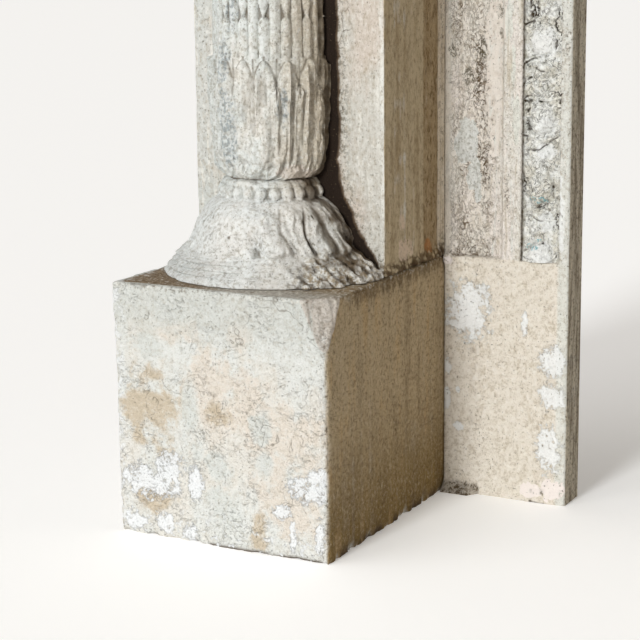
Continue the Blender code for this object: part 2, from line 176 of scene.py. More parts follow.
def ease(value, low, high):
    """Rises smoothly from 0 at low to 1 at high."""
    share = np.clip((value - low) / (high - low), 0, 1)
    return share * share * (3 - 2 * share)


def hump(value, width):
    """A bell curve: 1 where value is 0, falling away on both sides over this width."""
    return np.exp(-((value / width) ** 2))


def fade(distance, reach):
    """Falls from 1 at no distance towards 0, to about a third at reach."""
    return np.exp(-distance / reach)


def worn_outline(corners, counts, wear):
    """A closed outline through corners. Each corner is a short quadratic curve from wear before it to
    wear after it, and each side between two such curves is cut into its own count of equal steps."""
    corners = np.array(corners, float)
    ahead = np.roll(corners, -1, axis=0) - corners
    ahead /= np.linalg.norm(ahead, axis=1, keepdims=True)
    start, end = corners - np.roll(ahead, 1, axis=0) * wear, corners + ahead * wear
    parts = []
    turn = np.linspace(0, 1, 5)[:, None]
    for i, count in enumerate(counts):
        j = (i + 1) % len(corners)
        parts.append((1 - turn) ** 2 * start[i] + 2 * turn * (1 - turn) * corners[i] + turn**2 * end[i])
        parts.append(end[i] + np.linspace(0, 1, count + 1)[1:-1, None] * (start[j] - end[i]))
    return np.concatenate(parts)


def outward(rings):
    """Unit normals of a stack of closed rings, from the step round a ring crossed with the step up the
    stack."""
    along = np.roll(rings, -1, axis=1) - np.roll(rings, 1, axis=1)
    normal = np.cross(along, np.gradient(rings, axis=0))
    normal /= np.maximum(np.linalg.norm(normal, axis=-1, keepdims=True), 1e-12)
    middle = rings.reshape(-1, 3).mean(axis=0)
    return normal if (normal * (rings - middle)).sum() > 0 else -normal


def cast(name, rings, dirt_and_shade, material, node):
    """Makes a piece from a stack of closed rings: four-sided faces between rings and a flat face at each
    end. The value given for each point runs from 0 on high ground to 1 in the hollows, for the dirt in
    the material; in places it also carries painted shade, which runs past 1 on a column's shaded side. A
    piece of the right leg comes worked out for the left, and is mirrored here."""
    if name.startswith("right"):
        rings = rings * (-1, 1, 1)
    rings = np.clip(rings, CAD_LOW, CAD_HIGH)
    along = np.roll(rings, -1, axis=1) - rings
    normal = np.cross(along[:-1], rings[1:] - rings[:-1])
    middle = rings.reshape(-1, 3).mean(axis=0)
    if (normal * (rings[:-1] - middle)).sum() < 0:
        rings, dirt_and_shade = rings[:, ::-1], dirt_and_shade[:, ::-1]
    rows, columns = rings.shape[:2]
    index = np.arange(rows * columns).reshape(rows, columns)
    right = np.roll(index, -1, axis=1)
    quads = np.stack((index[:-1], right[:-1], right[1:], index[1:]), axis=-1).reshape(-1)
    loops = np.concatenate((quads, index[0][::-1], index[-1]))
    count = quads.size // 4
    starts = np.append(np.arange(count) * 4, (count * 4, count * 4 + columns))
    mesh = bpy.data.meshes.new(name)
    mesh.vertices.add(rows * columns)
    mesh.vertices.foreach_set("co", rings.astype(np.float32).ravel())
    mesh.loops.add(loops.size)
    mesh.loops.foreach_set("vertex_index", loops.astype(np.int32))
    mesh.polygons.add(count + 2)
    mesh.polygons.foreach_set("loop_start", starts.astype(np.int32))
    mesh.update(calc_edges=True)
    mesh.validate()
    dirt = mesh.attributes.new("dirt_and_shade", "FLOAT", "POINT")
    dirt.data.foreach_set("value", dirt_and_shade.astype(np.float32).ravel())
    mesh.shade_smooth()
    mesh.set_sharp_from_angle(angle=SHARP_FROM)
    mesh.materials.append(material)
    piece = bpy.data.objects.new(name, mesh)
    bpy.context.scene.collection.objects.link(piece)
    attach(piece, "root")
    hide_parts(node)


def cast_both(shape, pieces, node, material, left, right):
    """Makes a piece for each leg, from what its shape is given for the left leg and for the right. Both
    names take left or right in the place of LEG."""
    for leg, given in (("left", left), ("right", right)):
        rings, dirt_and_shade = shape(*given)
        cast(pieces.replace("LEG", leg), rings, dirt_and_shade, material, node.replace("LEG", leg))


class Wire:
    """A socket in a material, with arithmetic that adds Math nodes."""

    def __init__(self, paint, socket):
        self.paint = paint
        self.socket = socket

    def maths(self, operation, *values):
        """Adds a Math node working on these values or links."""
        return self.paint.add("Math", {"operation": operation}, dict(enumerate(values)))

    def __add__(self, other):
        return self.maths("ADD", self, other)

    def __sub__(self, other):
        return self.maths("SUBTRACT", self, other)

    def __mul__(self, other):
        return self.maths("MULTIPLY", self, other)

    def __rsub__(self, other):
        return self.maths("SUBTRACT", other, self)

    __radd__ = __add__

    def most(self, other):
        """The larger of the two."""
        return self.maths("MAXIMUM", self, other)

    def step(self, low, high):
        """Rises smoothly from 0 at low to 1 at high."""
        inputs = {"Value": self, "From Min": low, "From Max": high}
        return self.paint.add("MapRange", {"interpolation_type": "SMOOTHSTEP"}, inputs)


def srgb(red, green, blue):
    """A colour given as it looks on a screen, 0 to 255."""
    return tuple((((v / 255) + 0.055) / 1.055) ** 2.4 for v in (red, green, blue))


class Paint:
    """One material, whose nodes are put in by add(), and whose colour is built up in coats. Colours are
    given as they look on a screen. left is 1 on the front of the left leg, and near is minus the
    distance from the middle."""

    def __init__(self, name):
        self.material = bpy.data.materials.new(name)
        self.material.use_nodes = True
        self.tree = self.material.node_tree
        self.shader = self.tree.nodes["Principled BSDF"]
        self.place = self.add("TexCoord", output="Object")
        split = self.add("SeparateXYZ", inputs={0: self.place}).socket.node
        self.x, self.y, self.z = (Wire(self, split.outputs[k]) for k in range(3))
        self.left = self.x.step(0.01, -0.01) * self.y.step(CAD_HIGH[1] - 0.002, CAD_HIGH[1] - 0.010)
        self.near = self.x.maths("ABSOLUTE", self.x) * -1.0
        self.dirt_and_shade = self.add("Attribute", {"attribute_name": "dirt_and_shade"}, output="Fac")

    def add(self, kind, settings=None, inputs=None, output=0):
        """Adds a node with these settings, then these values or links, and gives its output."""
        node = self.tree.nodes.new("ShaderNode" + kind)
        for key, value in (settings or {}).items():
            setattr(node, key, value)
        for key, value in (inputs or {}).items():
            self.feed(node.inputs[key], value)
        return Wire(self, node.outputs[output])

    def feed(self, socket, value):
        """Links a Wire to a socket, or sets the socket to a plain value."""
        if isinstance(value, Wire):
            self.tree.links.new(value.socket, socket)
        else:
            socket.default_value = value

    def drawn(self, size, tall, shift, wide=1):
        """The place on the piece, counted in features of this size in metres, made this many
        times as tall and as wide."""
        scale = tuple(1 / (size * s) for s in (wide, 1, tall))
        return self.add("Mapping", inputs={"Vector": self.place, "Location": shift, "Scale": scale})

    def noise(self, size, detail=4.0, tall=1, shift=(0, 0, 0), roughness=0.55, bend=0.0, wide=1):
        """Noise whose features are about this size in metres."""
        place = self.drawn(size, tall, shift, wide)
        inputs = {"Vector": place, "Scale": 1.0, "Detail": detail, "Roughness": roughness, "Distortion": bend}
        return self.add("TexNoise", inputs=inputs)

    def worms(self, size, width, tall=1, shift=(0, 0, 0), wide=1):
        """1 on thin wandering lines, where noise of this size crosses its middle value."""
        level = self.noise(size, 3.0, tall, shift, bend=0.6, wide=wide) - 0.5
        return level.maths("ABSOLUTE", level).step(width, width * 0.3)

    def pins(self, shift, start=0.64):
        """1 on pin-sized specks, where fine noise is above start."""
        return self.noise(0.0019, 2.0, shift=shift).step(start, start + 0.06)

    def coat(self, colour, share):
        """Lays a colour over what is there, from not at all where share is 0 to thick where it is 1."""
        self.colour = self.mix(self.colour, colour, share)

    def gritty(self, dark, light, share, tall=1):
        """Breaks the colour up with fine noise, darker in its pits and lighter on its grains."""
        fine = self.noise(0.0038, 8.0, tall, shift=(3, 7, 1), roughness=0.80)
        self.coat(dark, fine.step(0.50, 0.39) * share)
        self.coat(light, fine.step(0.52, 0.62) * share)
        return fine

    def cells(self, size, feature, tall=1, shift=(0, 0, 0), wide=1):
        """Wobbly cells of about this size: the distance to a cell's border, or with F1 from its
        middle."""
        place = self.drawn(size, tall, shift, wide)
        wobble = self.add("TexNoise", inputs={"Vector": place, "Scale": 2.5, "Detail": 4.0}, output="Color")
        pull = self.add("VectorMath", {"operation": "SCALE"}, {0: wobble, "Scale": 0.35})
        place = self.add("VectorMath", {"operation": "ADD"}, {0: place, 1: pull})
        return self.add("TexVoronoi", {"feature": feature}, {"Vector": place, "Scale": 1.0})

    def mix(self, low, high, share):
        """Colour low where share is 0 and high where it is 1."""
        sockets = {0: share}
        for key, colour in ((6, low), (7, high)):
            sockets[key] = colour if isinstance(colour, Wire) else (*srgb(*colour), 1.0)
        return self.add("Mix", {"data_type": "RGBA"}, sockets, output=2)

    def spots(self, across, places, ragged, soft=0.12):
        """1 inside ragged ovals on the left leg, listed as (across, up, half width, half height) in
        millimetres."""
        total = None
        for a, b, half_width, half_height in places:
            da = (across - a / 1000) * (1000 / half_width)
            db = (self.z - b / 1000) * (1000 / half_height)
            inside = 1.0 - (da * da + db * db) + ragged
            total = inside if total is None else total.most(inside)
        return total.step(0.0, soft) * self.left

    def finish(self, height, depth, roughness=0.88):
        """Feeds the shader. height is 0 to 1, and depth is what it stands for in metres."""
        bump = self.add("Bump", inputs={"Strength": 1.0, "Distance": depth, "Height": height})
        self.feed(self.shader.inputs["Base Color"], self.colour)
        self.feed(self.shader.inputs["Roughness"], roughness)
        self.feed(self.shader.inputs["Normal"], bump)
        self.shader.inputs["Specular IOR Level"].default_value = 0.25
        return self.material


INNER_X = BLOCK_HIGH[0]
BLOCK_TOP = BLOCK_HIGH[2]
TAN_STAINS = (
    (-172, 118, 32, 40), (-156, 92, 24, 22), (-186, 110, 14, 34), (-104, 120, 16, 14), (-174, 34, 30, 12),
    (-64, 16, 12, 20),
)
PEACH_STAINS = (
    (-98, 134, 46, 50), (-36, 104, 40, 34), (-86, 186, 14, 20), (-30, 40, 34, 42), (-150, 186, 26, 14),
    (-50, 60, 26, 30),
)
GREY_STREAKS = (
    (-132, 118, 10, 30), (-128, 92, 9, 20), (-104, 70, 16, 18), (-98, 30, 20, 24), (-176, 172, 22, 14),
    (-60, 76, 10, 16), (-62, 112, 12, 16), (-112, 44, 16, 18),
)
LOST_PAINT = (
    (-184, 49, 24, 15), (-156, 62, 15, 17), (-164, 47, 18, 11), (-128, 54, 8, 17), (-192, 12, 12, 9),
    (-162, 14, 9, 9), (-136, 8, 8, 9), (-16, 63, 21, 13), (-7, 74, 10, 9), (-44, 40, 9, 8),
    (-34, 20, 3, 16), (-8, 22, 5, 16),
)
FACET = np.cross(np.subtract(CHIP_POINTS[1], CHIP_POINTS[0]), np.subtract(CHIP_POINTS[2], CHIP_POINTS[0]))
FACET = -FACET / np.linalg.norm(FACET)


def block_paint():
    """Grey-white paint over peach and tan stains, with white plaster bare where it has flaked."""
    paint = Paint("block_paint")
    across = paint.near - INNER_X
    ragged = (paint.noise(0.009, 8.0, roughness=0.74) - 0.5) * 6.0
    crumbs = (paint.noise(0.0042, 6.0, shift=(6, 2, 4), roughness=0.75) - 0.5) * 3.6
    soft = (paint.noise(0.026, 6.0, shift=(3, 1, 2), roughness=0.66) - 0.5) * 5.0
    patches = paint.noise(0.034, 6.0, tall=2.2, roughness=0.62).step(0.42, 0.60)
    blotch = paint.noise(0.008, 5.0, shift=(5, 5, 5), roughness=0.65)
    paint.colour = paint.mix((232, 232, 226), (235, 230, 220), patches)
    peach = paint.spots(across, PEACH_STAINS, soft, 0.9)
    tan = paint.spots(across, TAN_STAINS, soft * 1.2, 1.0)
    pale = paint.spots(across, GREY_STREAKS, soft, 0.9)
    paint.coat((234, 222, 207), peach * 0.85)
    paint.coat((209, 191, 164), tan * 0.86)
    paint.coat((222, 224, 218), pale * 0.85)
    upper = (paint.z + (blotch - 0.5) * 0.05).step(BLOCK_TOP - 0.060, BLOCK_TOP - 0.02)
    paint.coat((213, 214, 207), upper * 0.8)
    paint.coat((198, 192, 177), blotch.step(0.54, 0.68) * 0.18)
    # The inner side is painted brown, browner towards the foot and streaked: partly dirt and partly painted
    # shade on a side turned from the light.
    inner = across.step(-0.0040, -0.0005) * paint.z.step(BLOCK_TOP, BLOCK_TOP - 0.003)
    low = paint.z.step(0.14, 0.0)
    side_tone_and_shade = paint.mix((197, 175, 139), (142, 116, 66), low)
    runs = paint.noise(0.016, 6.0, tall=6, shift=(1, 4, 4), roughness=0.62)
    side_tone_and_shade = paint.mix(side_tone_and_shade, (136, 114, 80), runs.step(0.50, 0.68) * 0.42)
    side_tone_and_shade = paint.mix(side_tone_and_shade, (202, 168, 118), runs.step(0.48, 0.34) * 0.55)
    paint.coat(side_tone_and_shade, inner)
    facet = (paint.x - INNER_X - CHIP_POINTS[0][0]) * FACET[0] + (paint.y - BLOCK_LOW[1]) * FACET[1]
    facet = (facet + (paint.z - BLOCK_TOP) * FACET[2]).step(-0.0022, -0.0012) * paint.left
    inner = inner * (1.0 - facet)
    paint.coat((214, 204, 193), facet * 0.9)
    behind = paint.y - BLOCK_LOW[1]
    # The flat top of the block is painted darker, a dull brown, strongest towards its outer end.
    darkened = paint.z.step(BLOCK_TOP - 0.0012, BLOCK_TOP - 0.0006) * behind.step(0.003, 0.006)
    darkened = darkened * across.step(-0.205, -0.202) * (across.step(-0.095, -0.135) * 0.55 + 0.45)
    paint.coat((145, 125, 101), darkened)
    rubble = paint.z.step(BLOCK_TOP - 0.0050, BLOCK_TOP - 0.0010) * behind.step(0.010, 0.050) * paint.left
    rubble = rubble * (across + (blotch - 0.5) * 0.06).step(-0.062, -0.035)
    paint.coat((140, 116, 78), rubble * 0.9)
    drips = (paint.noise(0.006, 5.0, tall=5, shift=(7, 1, 1), roughness=0.65) - 0.5) * 0.045
    spill = (paint.z + drips).step(BLOCK_TOP - 0.016, BLOCK_TOP - 0.006) * inner * paint.left
    spill = spill * behind.step(0.030, 0.060)
    paint.coat((112, 90, 58), spill * 0.75)
    lost = paint.spots(across, LOST_PAINT, ragged + crumbs, 0.45)
    edge = paint.noise(0.006, 5.0, shift=(1, 8, 3)).step(0.58, 0.63) * paint.z.step(0.045, 0.0)
    rim = paint.noise(0.007, 5.0, shift=(2, 2, 9)).step(0.52, 0.58) * across.step(-0.192, -0.207)
    lost = lost.most(edge).most(rim * 0.7) * (1.0 - inner)
    dim = inner.most(darkened)
    grit_light = paint.mix((246, 245, 240), (206, 186, 154), dim)
    flaky = paint.noise(0.0036, 5.0, shift=(9, 2, 2), roughness=0.7)
    lip = paint.z.step(BLOCK_TOP - 0.007, BLOCK_TOP - 0.002) * paint.left
    grit_dark = paint.mix((172, 160, 136), (104, 82, 52), dim)
    fine = paint.gritty(grit_dark, grit_light, share=dim * 0.28 + 0.34)
    scuffs = paint.noise(0.0044, 6.0, tall=2.0, shift=(8, 2, 3), roughness=0.72)
    clumps = paint.noise(0.013, 5.0, tall=1.6, shift=(8, 5, 3), roughness=0.7)
    paint.coat((216, 198, 166), scuffs.step(0.54, 0.66) * clumps.step(0.44, 0.60) * inner * 0.55)
    paint.coat((96, 74, 46), scuffs.step(0.46, 0.36) * clumps.step(0.52, 0.38) * inner * 0.30)
    paint.coat((104, 84, 56), flaky.step(0.47, 0.38) * lip * 0.55)
    paint.coat((240, 236, 226), flaky.step(0.55, 0.62) * lip * 0.60)
    torn = paint.noise(0.0042, 5.0, shift=(3, 8, 8), roughness=0.7).step(0.50, 0.60) * facet
    paint.coat((150, 132, 112), torn * 0.45)
    paint.coat((84, 66, 44), paint.dirt_and_shade.step(0.20, 0.90) * 0.9)
    paint.coat((246, 247, 247), lost * (fine * 0.5 + 0.62))
    arris = across.step(-0.011, -0.003) * behind.step(0.010, 0.003) * paint.left
    paint.coat((88, 70, 44), arris * flaky.step(0.45, 0.37) * 0.75)
    paint.coat((244, 242, 236), arris * flaky.step(0.54, 0.60) * (1.0 - inner) * 0.85)
    hair = paint.worms(0.034, 0.006, shift=(1, 5, 2)) * paint.noise(0.03, 3.0).step(0.53, 0.60)
    wrinkled = paint.noise(0.026, 4.0, shift=(1, 9, 6)).step(0.46, 0.60)
    wrinkle = paint.worms(0.0070, 0.016, wide=1.5, shift=(4, 4, 1)) * wrinkled
    pin = paint.pins((2, 9, 4), 0.65)
    paint.coat((112, 98, 78), (hair * 0.45).most(pin * 0.45).most(wrinkle * 0.14))
    height = fine * 0.8 + blotch * 0.45 + patches * 0.06 - lost * 0.20 - hair * 0.20 - pin * 0.3
    pebbles = paint.cells(0.0070, "F1", shift=(3, 3, 8))
    height = height - wrinkle * 0.30 - pebbles * rubble.most(spill) * 0.7
    return paint.finish(height, 0.0042)


def plinth_block(steps, seed, chip):
    """A block as rings: plan rings going up, rounding over at the top, then shrinking to the middle of
    the top. The surface is pushed in by fine noise all over, and by lumps of noise within a few
    millimetres of an edge."""
    low, high = BLOCK_LOW.copy(), BLOCK_HIGH.copy()
    corners = [(low[0], low[1]), (high[0], low[1]), (high[0], high[1]), (low[0], high[1])]
    front, inner, back, outer = steps
    plan = worn_outline(corners, (front, inner, back, outer), BLOCK_WEAR)
    height = high[2]
    turn = np.radians((20, 40, 60, 80))
    up = np.linspace(0, height - BLOCK_WEAR, front)
    up = np.append(up, height - BLOCK_WEAR * (1 - np.sin(turn)))
    shrink = np.append(np.zeros(front), BLOCK_WEAR * (1 - np.cos(turn)))
    middle = (low + high)[:2] / 2
    half = (high - low)[:2] / 2
    rings = np.empty((len(up), len(plan), 3))
    rings[..., :2] = middle + (plan - middle) * (1 - shrink[:, None, None] / half)
    rings[..., 2] = up[:, None]
    cover = np.empty((front // 3, len(plan), 3))
    share = np.linspace(1 - BLOCK_WEAR / half.min(), INNERMOST_RING, front // 3)
    cover[..., :2] = middle + (plan - middle) * share[:, None, None]
    cover[..., 2] = height
    rings = np.concatenate((rings, cover))
    normal = outward(rings)
    x, y, z = np.moveaxis(rings, -1, 0)
    from_faces = (x - low[0], high[0] - x), (y - low[1], high[1] - y), (z, height - z)
    from_edge = np.sort(np.stack([np.minimum(*pair) for pair in from_faces]), axis=0)[1]
    finer_low = 0.55 * rough(rings, 0.0055, seed + 13, 3) * fade(z, 0.008)
    lumps = np.clip(rough(rings, 0.017, seed, 5) + 0.10 + finer_low, 0, 1.2)
    inner_front = fade(np.maximum(high[0] - x, y - low[1]), GNAWED_REACH)
    outer_front = fade(np.maximum(x - low[0], y - low[1]), GNAWED_REACH)
    gnawed = (1 + 0.9 * inner_front + 0.8 * outer_front) * (1 + 0.2 * fade(z, GNAWED_REACH))
    gnawed = gnawed * (0.45 + 1.0 * ease(rough(rings, 0.047, seed + 12, 2), -0.6, 0.8))
    inward = ease(x, high[0] - 0.006, high[0] - 0.001)
    spared = 1 - 0.55 * inward * fade(z, 0.012)
    crumble = BLOCK_CRUMBLE * lumps * fade(from_edge, 0.0040) * gnawed * spared
    crumble = crumble * np.where(z > height - 0.004, 0.4, 1.0)
    flakes = np.clip(rough(rings, 0.0085, seed + 9, 4) + 0.1, 0, 1) * fade(from_edge, 0.0030)
    flakes = flakes * (1 + 0.9 * outer_front) * spared
    crumble = crumble + BLOCK_FLAKES * flakes * ease(height - z, 0.004, 0.010)
    wavy = 0.0006 * rough(rings, 0.07, seed + 1, 2) + 0.00035 * rough(rings, 0.008, seed + 2, 4)
    push = wavy - 0.0005 - crumble
    # The head of the block carries the column, so it stays flat there.
    flat = ease(z, height - 0.0002, height) * ease(from_edge, 0.004, 0.012)
    rings = rings + normal * (push * (1 - flat) - 0.0004 * flat)[..., None]
    dirt = fade(rings[..., 2], 0.0030 + 0.0070 * inward) * ease(rough(rings, 0.016, seed + 4, 4), -0.5, 0.5)
    grit = ease(rough(rings, 0.007, seed + 7, 3), 0.2, 0.8) * fade(from_edge, 0.004)
    dirt_and_shade = np.maximum.reduce((np.clip(crumble / 0.004, 0, 1) * 0.35, grit * 0.7, dirt))
    if chip:
        corner = np.array((high[0], low[1], high[2]))
        a, b, c = (corner + np.array(point) for point in CHIP_POINTS)
        facing = np.cross(b - a, c - a)
        facing /= np.linalg.norm(facing) * np.sign(facing[2])
        past = (rings - a) @ facing + 0.0016 * rough(rings, 0.008, seed + 5, 4)
        rings = rings - np.maximum(past, 0)[..., None] * facing
        torn = hump(past - 0.0006, 0.0009) * ease(rough(rings, 0.010, seed + 6, 3), -1.2, 0.2)
        dirt_and_shade = np.maximum(dirt_and_shade, torn * 0.42)
        rings[..., :2] = np.clip(rings[..., :2], low[:2], high[:2])
    return rings, dirt_and_shade


left, right = ((144, 160, 16, 40), 3, True), ((60, 66, 12, 36), 11, False)
cast_both(plinth_block, "LEG_plinth", "LEG_plinth_block", block_paint(), left, right)

# The pilasters: flat plaster slabs that stand on the blocks and back the columns, bedded to the wall.
# Their paint is crazed in small squares near the column; the inner return is streaked brown, partly painted
# shade.

PILASTER_LOW, PILASTER_HIGH = box("left_pilaster")
JAMB_LOW, JAMB_HIGH = box("left_surround_jamb")
SHAFT_LOW, SHAFT_HIGH = box("left_column_shaft")
FACE_Y = PILASTER_LOW[1]
SURROUND_Y = JAMB_LOW[1]
RETURN_X = INNER_X - 0.003
REAR_SHADE_STRIP = 0.037
CLOSE_ROWS_UP_TO = 0.25
HEAP_RISE = 0.0062
CLOD_DEPTH = 0.0055
COLUMN_X = (SHAFT_LOW[0] + SHAFT_HIGH[0]) / 2
# How far the painted shadow of the column reaches across the pilaster's face from the column's axis, by
# height, in millimetres.
PAINTED_SHADOW_EDGE = (
    (225, 104), (237, 98), (258, 83), (291, 68), (311, 62), (330, 61), (352, 63), (420, 62), (900, 57),
)


def pilaster_paint():
    """Cream paint, browner towards the surround, with drips, brown specks and fine square crazing."""
    paint = Paint("pilaster_paint")
    across = paint.near - INNER_X
    patches = paint.noise(0.045, 6.0, tall=2.4, roughness=0.6).step(0.40, 0.62)
    drips = paint.noise(0.007, 6.0, tall=7, shift=(4, 2, 7), roughness=0.65)
    blotch = paint.noise(0.010, 5.0, tall=1.6, shift=(4, 2, 7), roughness=0.65)
    paint.colour = paint.mix((208, 204, 194), (212, 200, 187), patches)
    far = across.step(-0.150, -0.185)
    paint.coat((206, 208, 203), far * 0.8)
    paint.coat((232, 228, 218), drips.step(0.52, 0.64) * 0.75)
    paint.coat((184, 168, 144), blotch.step(0.53, 0.68) * 0.34)
    low = paint.z.step(BLOCK_TOP + 0.14, BLOCK_TOP + 0.01)
    grime = paint.noise(0.007, 6.0, shift=(6, 1, 2), roughness=0.7).step(0.48, 0.60)
    paint.coat((128, 112, 86), low * grime * 0.22)
    # The inner return is painted brown with streaks: partly dirt and partly painted shade on a face turned
    # from the light.
    inner = across.step(-0.0045, -0.0036) * paint.y.step(SURROUND_Y + 0.004, SURROUND_Y - 0.001)
    streaks = paint.noise(0.010, 6.0, tall=9, shift=(2, 2, 2), roughness=0.6)
    side_tone_and_shade = paint.mix((198, 180, 148), (150, 126, 90), streaks.step(0.44, 0.68) * 0.60)
    paint.coat(side_tone_and_shade, inner)
    # Its rear strip is darker still: painted shade, as if in a shallow recess there.
    rear_shade = inner * paint.y.step(SURROUND_Y - REAR_SHADE_STRIP - 0.003, SURROUND_Y - REAR_SHADE_STRIP + 0.001)
    paint.coat((148, 118, 74), rear_shade * 0.52)
    # A pale, broken line along the front arris by the return: painted highlight, with worn paint in it.
    arris = across.step(-0.0085, -0.0060) * (1.0 - inner)
    paint.coat((240, 238, 230), arris * drips.step(0.40, 0.56) * 0.65)
    soot = paint.noise(0.0036, 5.0, tall=2.2, shift=(5, 1, 1), roughness=0.7).step(0.50, 0.60)
    paint.coat((98, 74, 42), soot * (inner * 0.22 + rear_shade * 0.45))
    uneven = (blotch - 0.5) * 5.0
    share = (paint.y - FACE_Y) * (0.1 / (SURROUND_Y - FACE_Y))
    foot = BLOCK_TOP * 1000
    pink = paint.spots(share, ((36, foot + 17, 15, 11), (30, foot + 42, 6, 8)), uneven, 0.5) * inner
    paint.coat((226, 204, 182), pink * 0.85)
    rust = paint.spots(share, ((76, foot + 14, 8, 7),), uneven, 0.5) * inner
    paint.coat((176, 116, 62), rust * 0.8)
    lip = paint.y.step(SURROUND_Y - 0.0072, SURROUND_Y - 0.0055) * inner
    paint.coat((238, 226, 206), lip * (drips.step(0.36, 0.56) * 0.5 + 0.42))
    grit_light = paint.mix((244, 240, 232), (196, 176, 142), inner)
    grit_dark = paint.mix((156, 138, 108), (112, 88, 56), inner)
    fine = paint.gritty(grit_dark, grit_light, share=0.48, tall=1.6)
    beside = paint.near - COLUMN_X
    crazed = beside.step(0.052, 0.060) * beside.step(0.080, 0.068)
    squares = paint.cells(0.014, "DISTANCE_TO_EDGE", tall=1.3, wide=0.8).step(0.04, 0.012) * crazed
    squares = squares * paint.noise(0.03, 3.0, shift=(9, 9, 1)).step(0.46, 0.56)
    paint.coat((96, 76, 52), squares * paint.z.step(0.33, 0.37) * 0.55)
    # Darker browns by the per-point value: dirt at the foot and in the corner, and the painted shadow of the
    # column on the face beside it, near-black next to the column with a speckled fringe.
    cloud = paint.noise(0.0034, 5.0, shift=(2, 5, 5), roughness=0.75).step(0.50, 0.58)
    paint.coat((92, 86, 66), paint.dirt_and_shade.step(0.01, 0.24) * cloud * 0.65)
    paint.coat((84, 62, 38), paint.dirt_and_shade.step(0.20, 0.50) * 0.9)
    paint.coat((36, 24, 14), paint.dirt_and_shade.step(0.45, 0.90))
    pin = paint.pins((7, 9, 4))
    paint.coat((116, 100, 76), pin * 0.6)
    crust = paint.z.step(BLOCK_TOP + 0.014, BLOCK_TOP + 0.006) * paint.left
    crust = crust * inner.most(across.step(-0.035, -0.010))
    pebbles = paint.cells(0.0060, "F1", shift=(3, 8, 3))
    paint.coat((206, 190, 160), crust * pebbles.step(0.34, 0.18) * 0.7)
    paint.coat((92, 72, 46), crust * pebbles.step(0.40, 0.62) * 0.8)
    height = fine * 0.8 + blotch * 0.45 + drips * 0.25 - squares * 0.20 - pin * 0.3 - crust * pebbles * 0.8
    return paint.finish(height, 0.0034)


def pilaster(side, steps, seed):
    """A slab as plan rings going up: outer return, face, inner return, then the flange behind the
    surround. Its corners are rounded by wear, and it is pushed in by slow waves and fine noise, more at
    the foot."""
    low, high = PILASTER_LOW, PILASTER_HIGH
    corners = [(low[0], low[1]), (RETURN_X, low[1]), (RETURN_X, SURROUND_Y), (high[0], SURROUND_Y)]
    corners += [(high[0], high[1]), (low[0], high[1])]
    face, inner, rows = steps
    plan = worn_outline(corners, (face, inner, 2, 3, 8, 16), 0.0013)
    tight = low[2] + CLOSE_ROWS_UP_TO * np.linspace(0, 1, rows) ** 1.5
    loose = np.linspace(low[2] + CLOSE_ROWS_UP_TO, high[2], rows)[1:]
    up = np.concatenate((tight, loose))
    rings = np.empty((len(up), len(plan), 3))
    rings[..., :2] = plan
    rings[..., 2] = up[:, None]
    lumps = np.clip(rough(rings, 0.012, seed, 3), -0.2, 1)
    push = 0.0004 * rough(rings, 0.08, seed + 1, 2) + 0.0003 * rough(rings, 0.010, seed + 2, 3) - 0.0004
    hidden = rings[..., 1] > SURROUND_Y - 0.002
    push = np.where(hidden, 0.0, push - 0.0006 * lumps)
    debris = ease(rings[..., 0], RETURN_X - 0.030, RETURN_X - 0.002) * (rings[..., 1] < SURROUND_Y - 0.002)
    debris = debris * hump(rings[..., 2] - low[2], HEAP_RISE)
    clods = np.clip(rough(rings, 0.010, seed + 3, 4) + 0.45, 0, 1.5)
    push = push + (side < 0) * debris * np.minimum(CLOD_DEPTH * clods, 0.0060)
    rings = rings + outward(rings) * push[..., None]
    rings[..., 2] = up[:, None]
    rings[..., 0] = np.minimum(rings[..., 0], np.where(hidden, high[0], INNER_X - 0.0004))
    x, y, z = np.moveaxis(rings, -1, 0)
    corner_dirt = fade(np.abs(y - SURROUND_Y), 0.004) * (x > RETURN_X - 0.01)
    corner_dirt = corner_dirt * ease(z, low[2] + 0.030, low[2])
    # Painted shadow of the column on the face beside it, with dirt in it: dark next to the column, with a
    # paler, wider fringe of painted shade on the left leg.
    heights, reaches = np.array(PAINTED_SHADOW_EDGE).T / 1000
    beside = x - COLUMN_X - np.interp(z, heights, reaches) + 0.0034 * rough(rings, 0.009, seed + 6, 4)
    on_face = (x > COLUMN_X) * (y < FACE_Y + 0.003)
    shade = ease(beside, 0.0035, -0.0038) * on_face
    heaped = debris * ease(rough(rings, 0.005, seed + 5, 3), -1.2, 0.6) * 0.62 * (side < 0)
    shadow_fringe = 0.24 * ease(beside, 0.020, 0.0) * on_face
    shade = np.maximum(shade, shadow_fringe * ease(z, 0.60, 0.34) * (side < 0))
    foot_dirt = fade(up[:, None] - low[2], 0.007) * ease(lumps, 0.0, 0.5)
    dirt_and_shade = np.clip(foot_dirt * 0.3 + corner_dirt * 0.4 + heaped * 0.6, 0, 0.47)
    dirt_and_shade = np.maximum(dirt_and_shade, shade)
    return rings, dirt_and_shade


left, right = (-1, (84, 56, 110), 21), (1, (40, 28, 60), 27)
cast_both(pilaster, "LEG_pilaster_slab", "LEG_pilaster", pilaster_paint(), left, right)

# The column bases: turned bells of cast plaster with hanging leaves clogged with paint, under a row of beads.
# Each is half a bell, bedded with its flat back to the pilaster and its rim on the block.

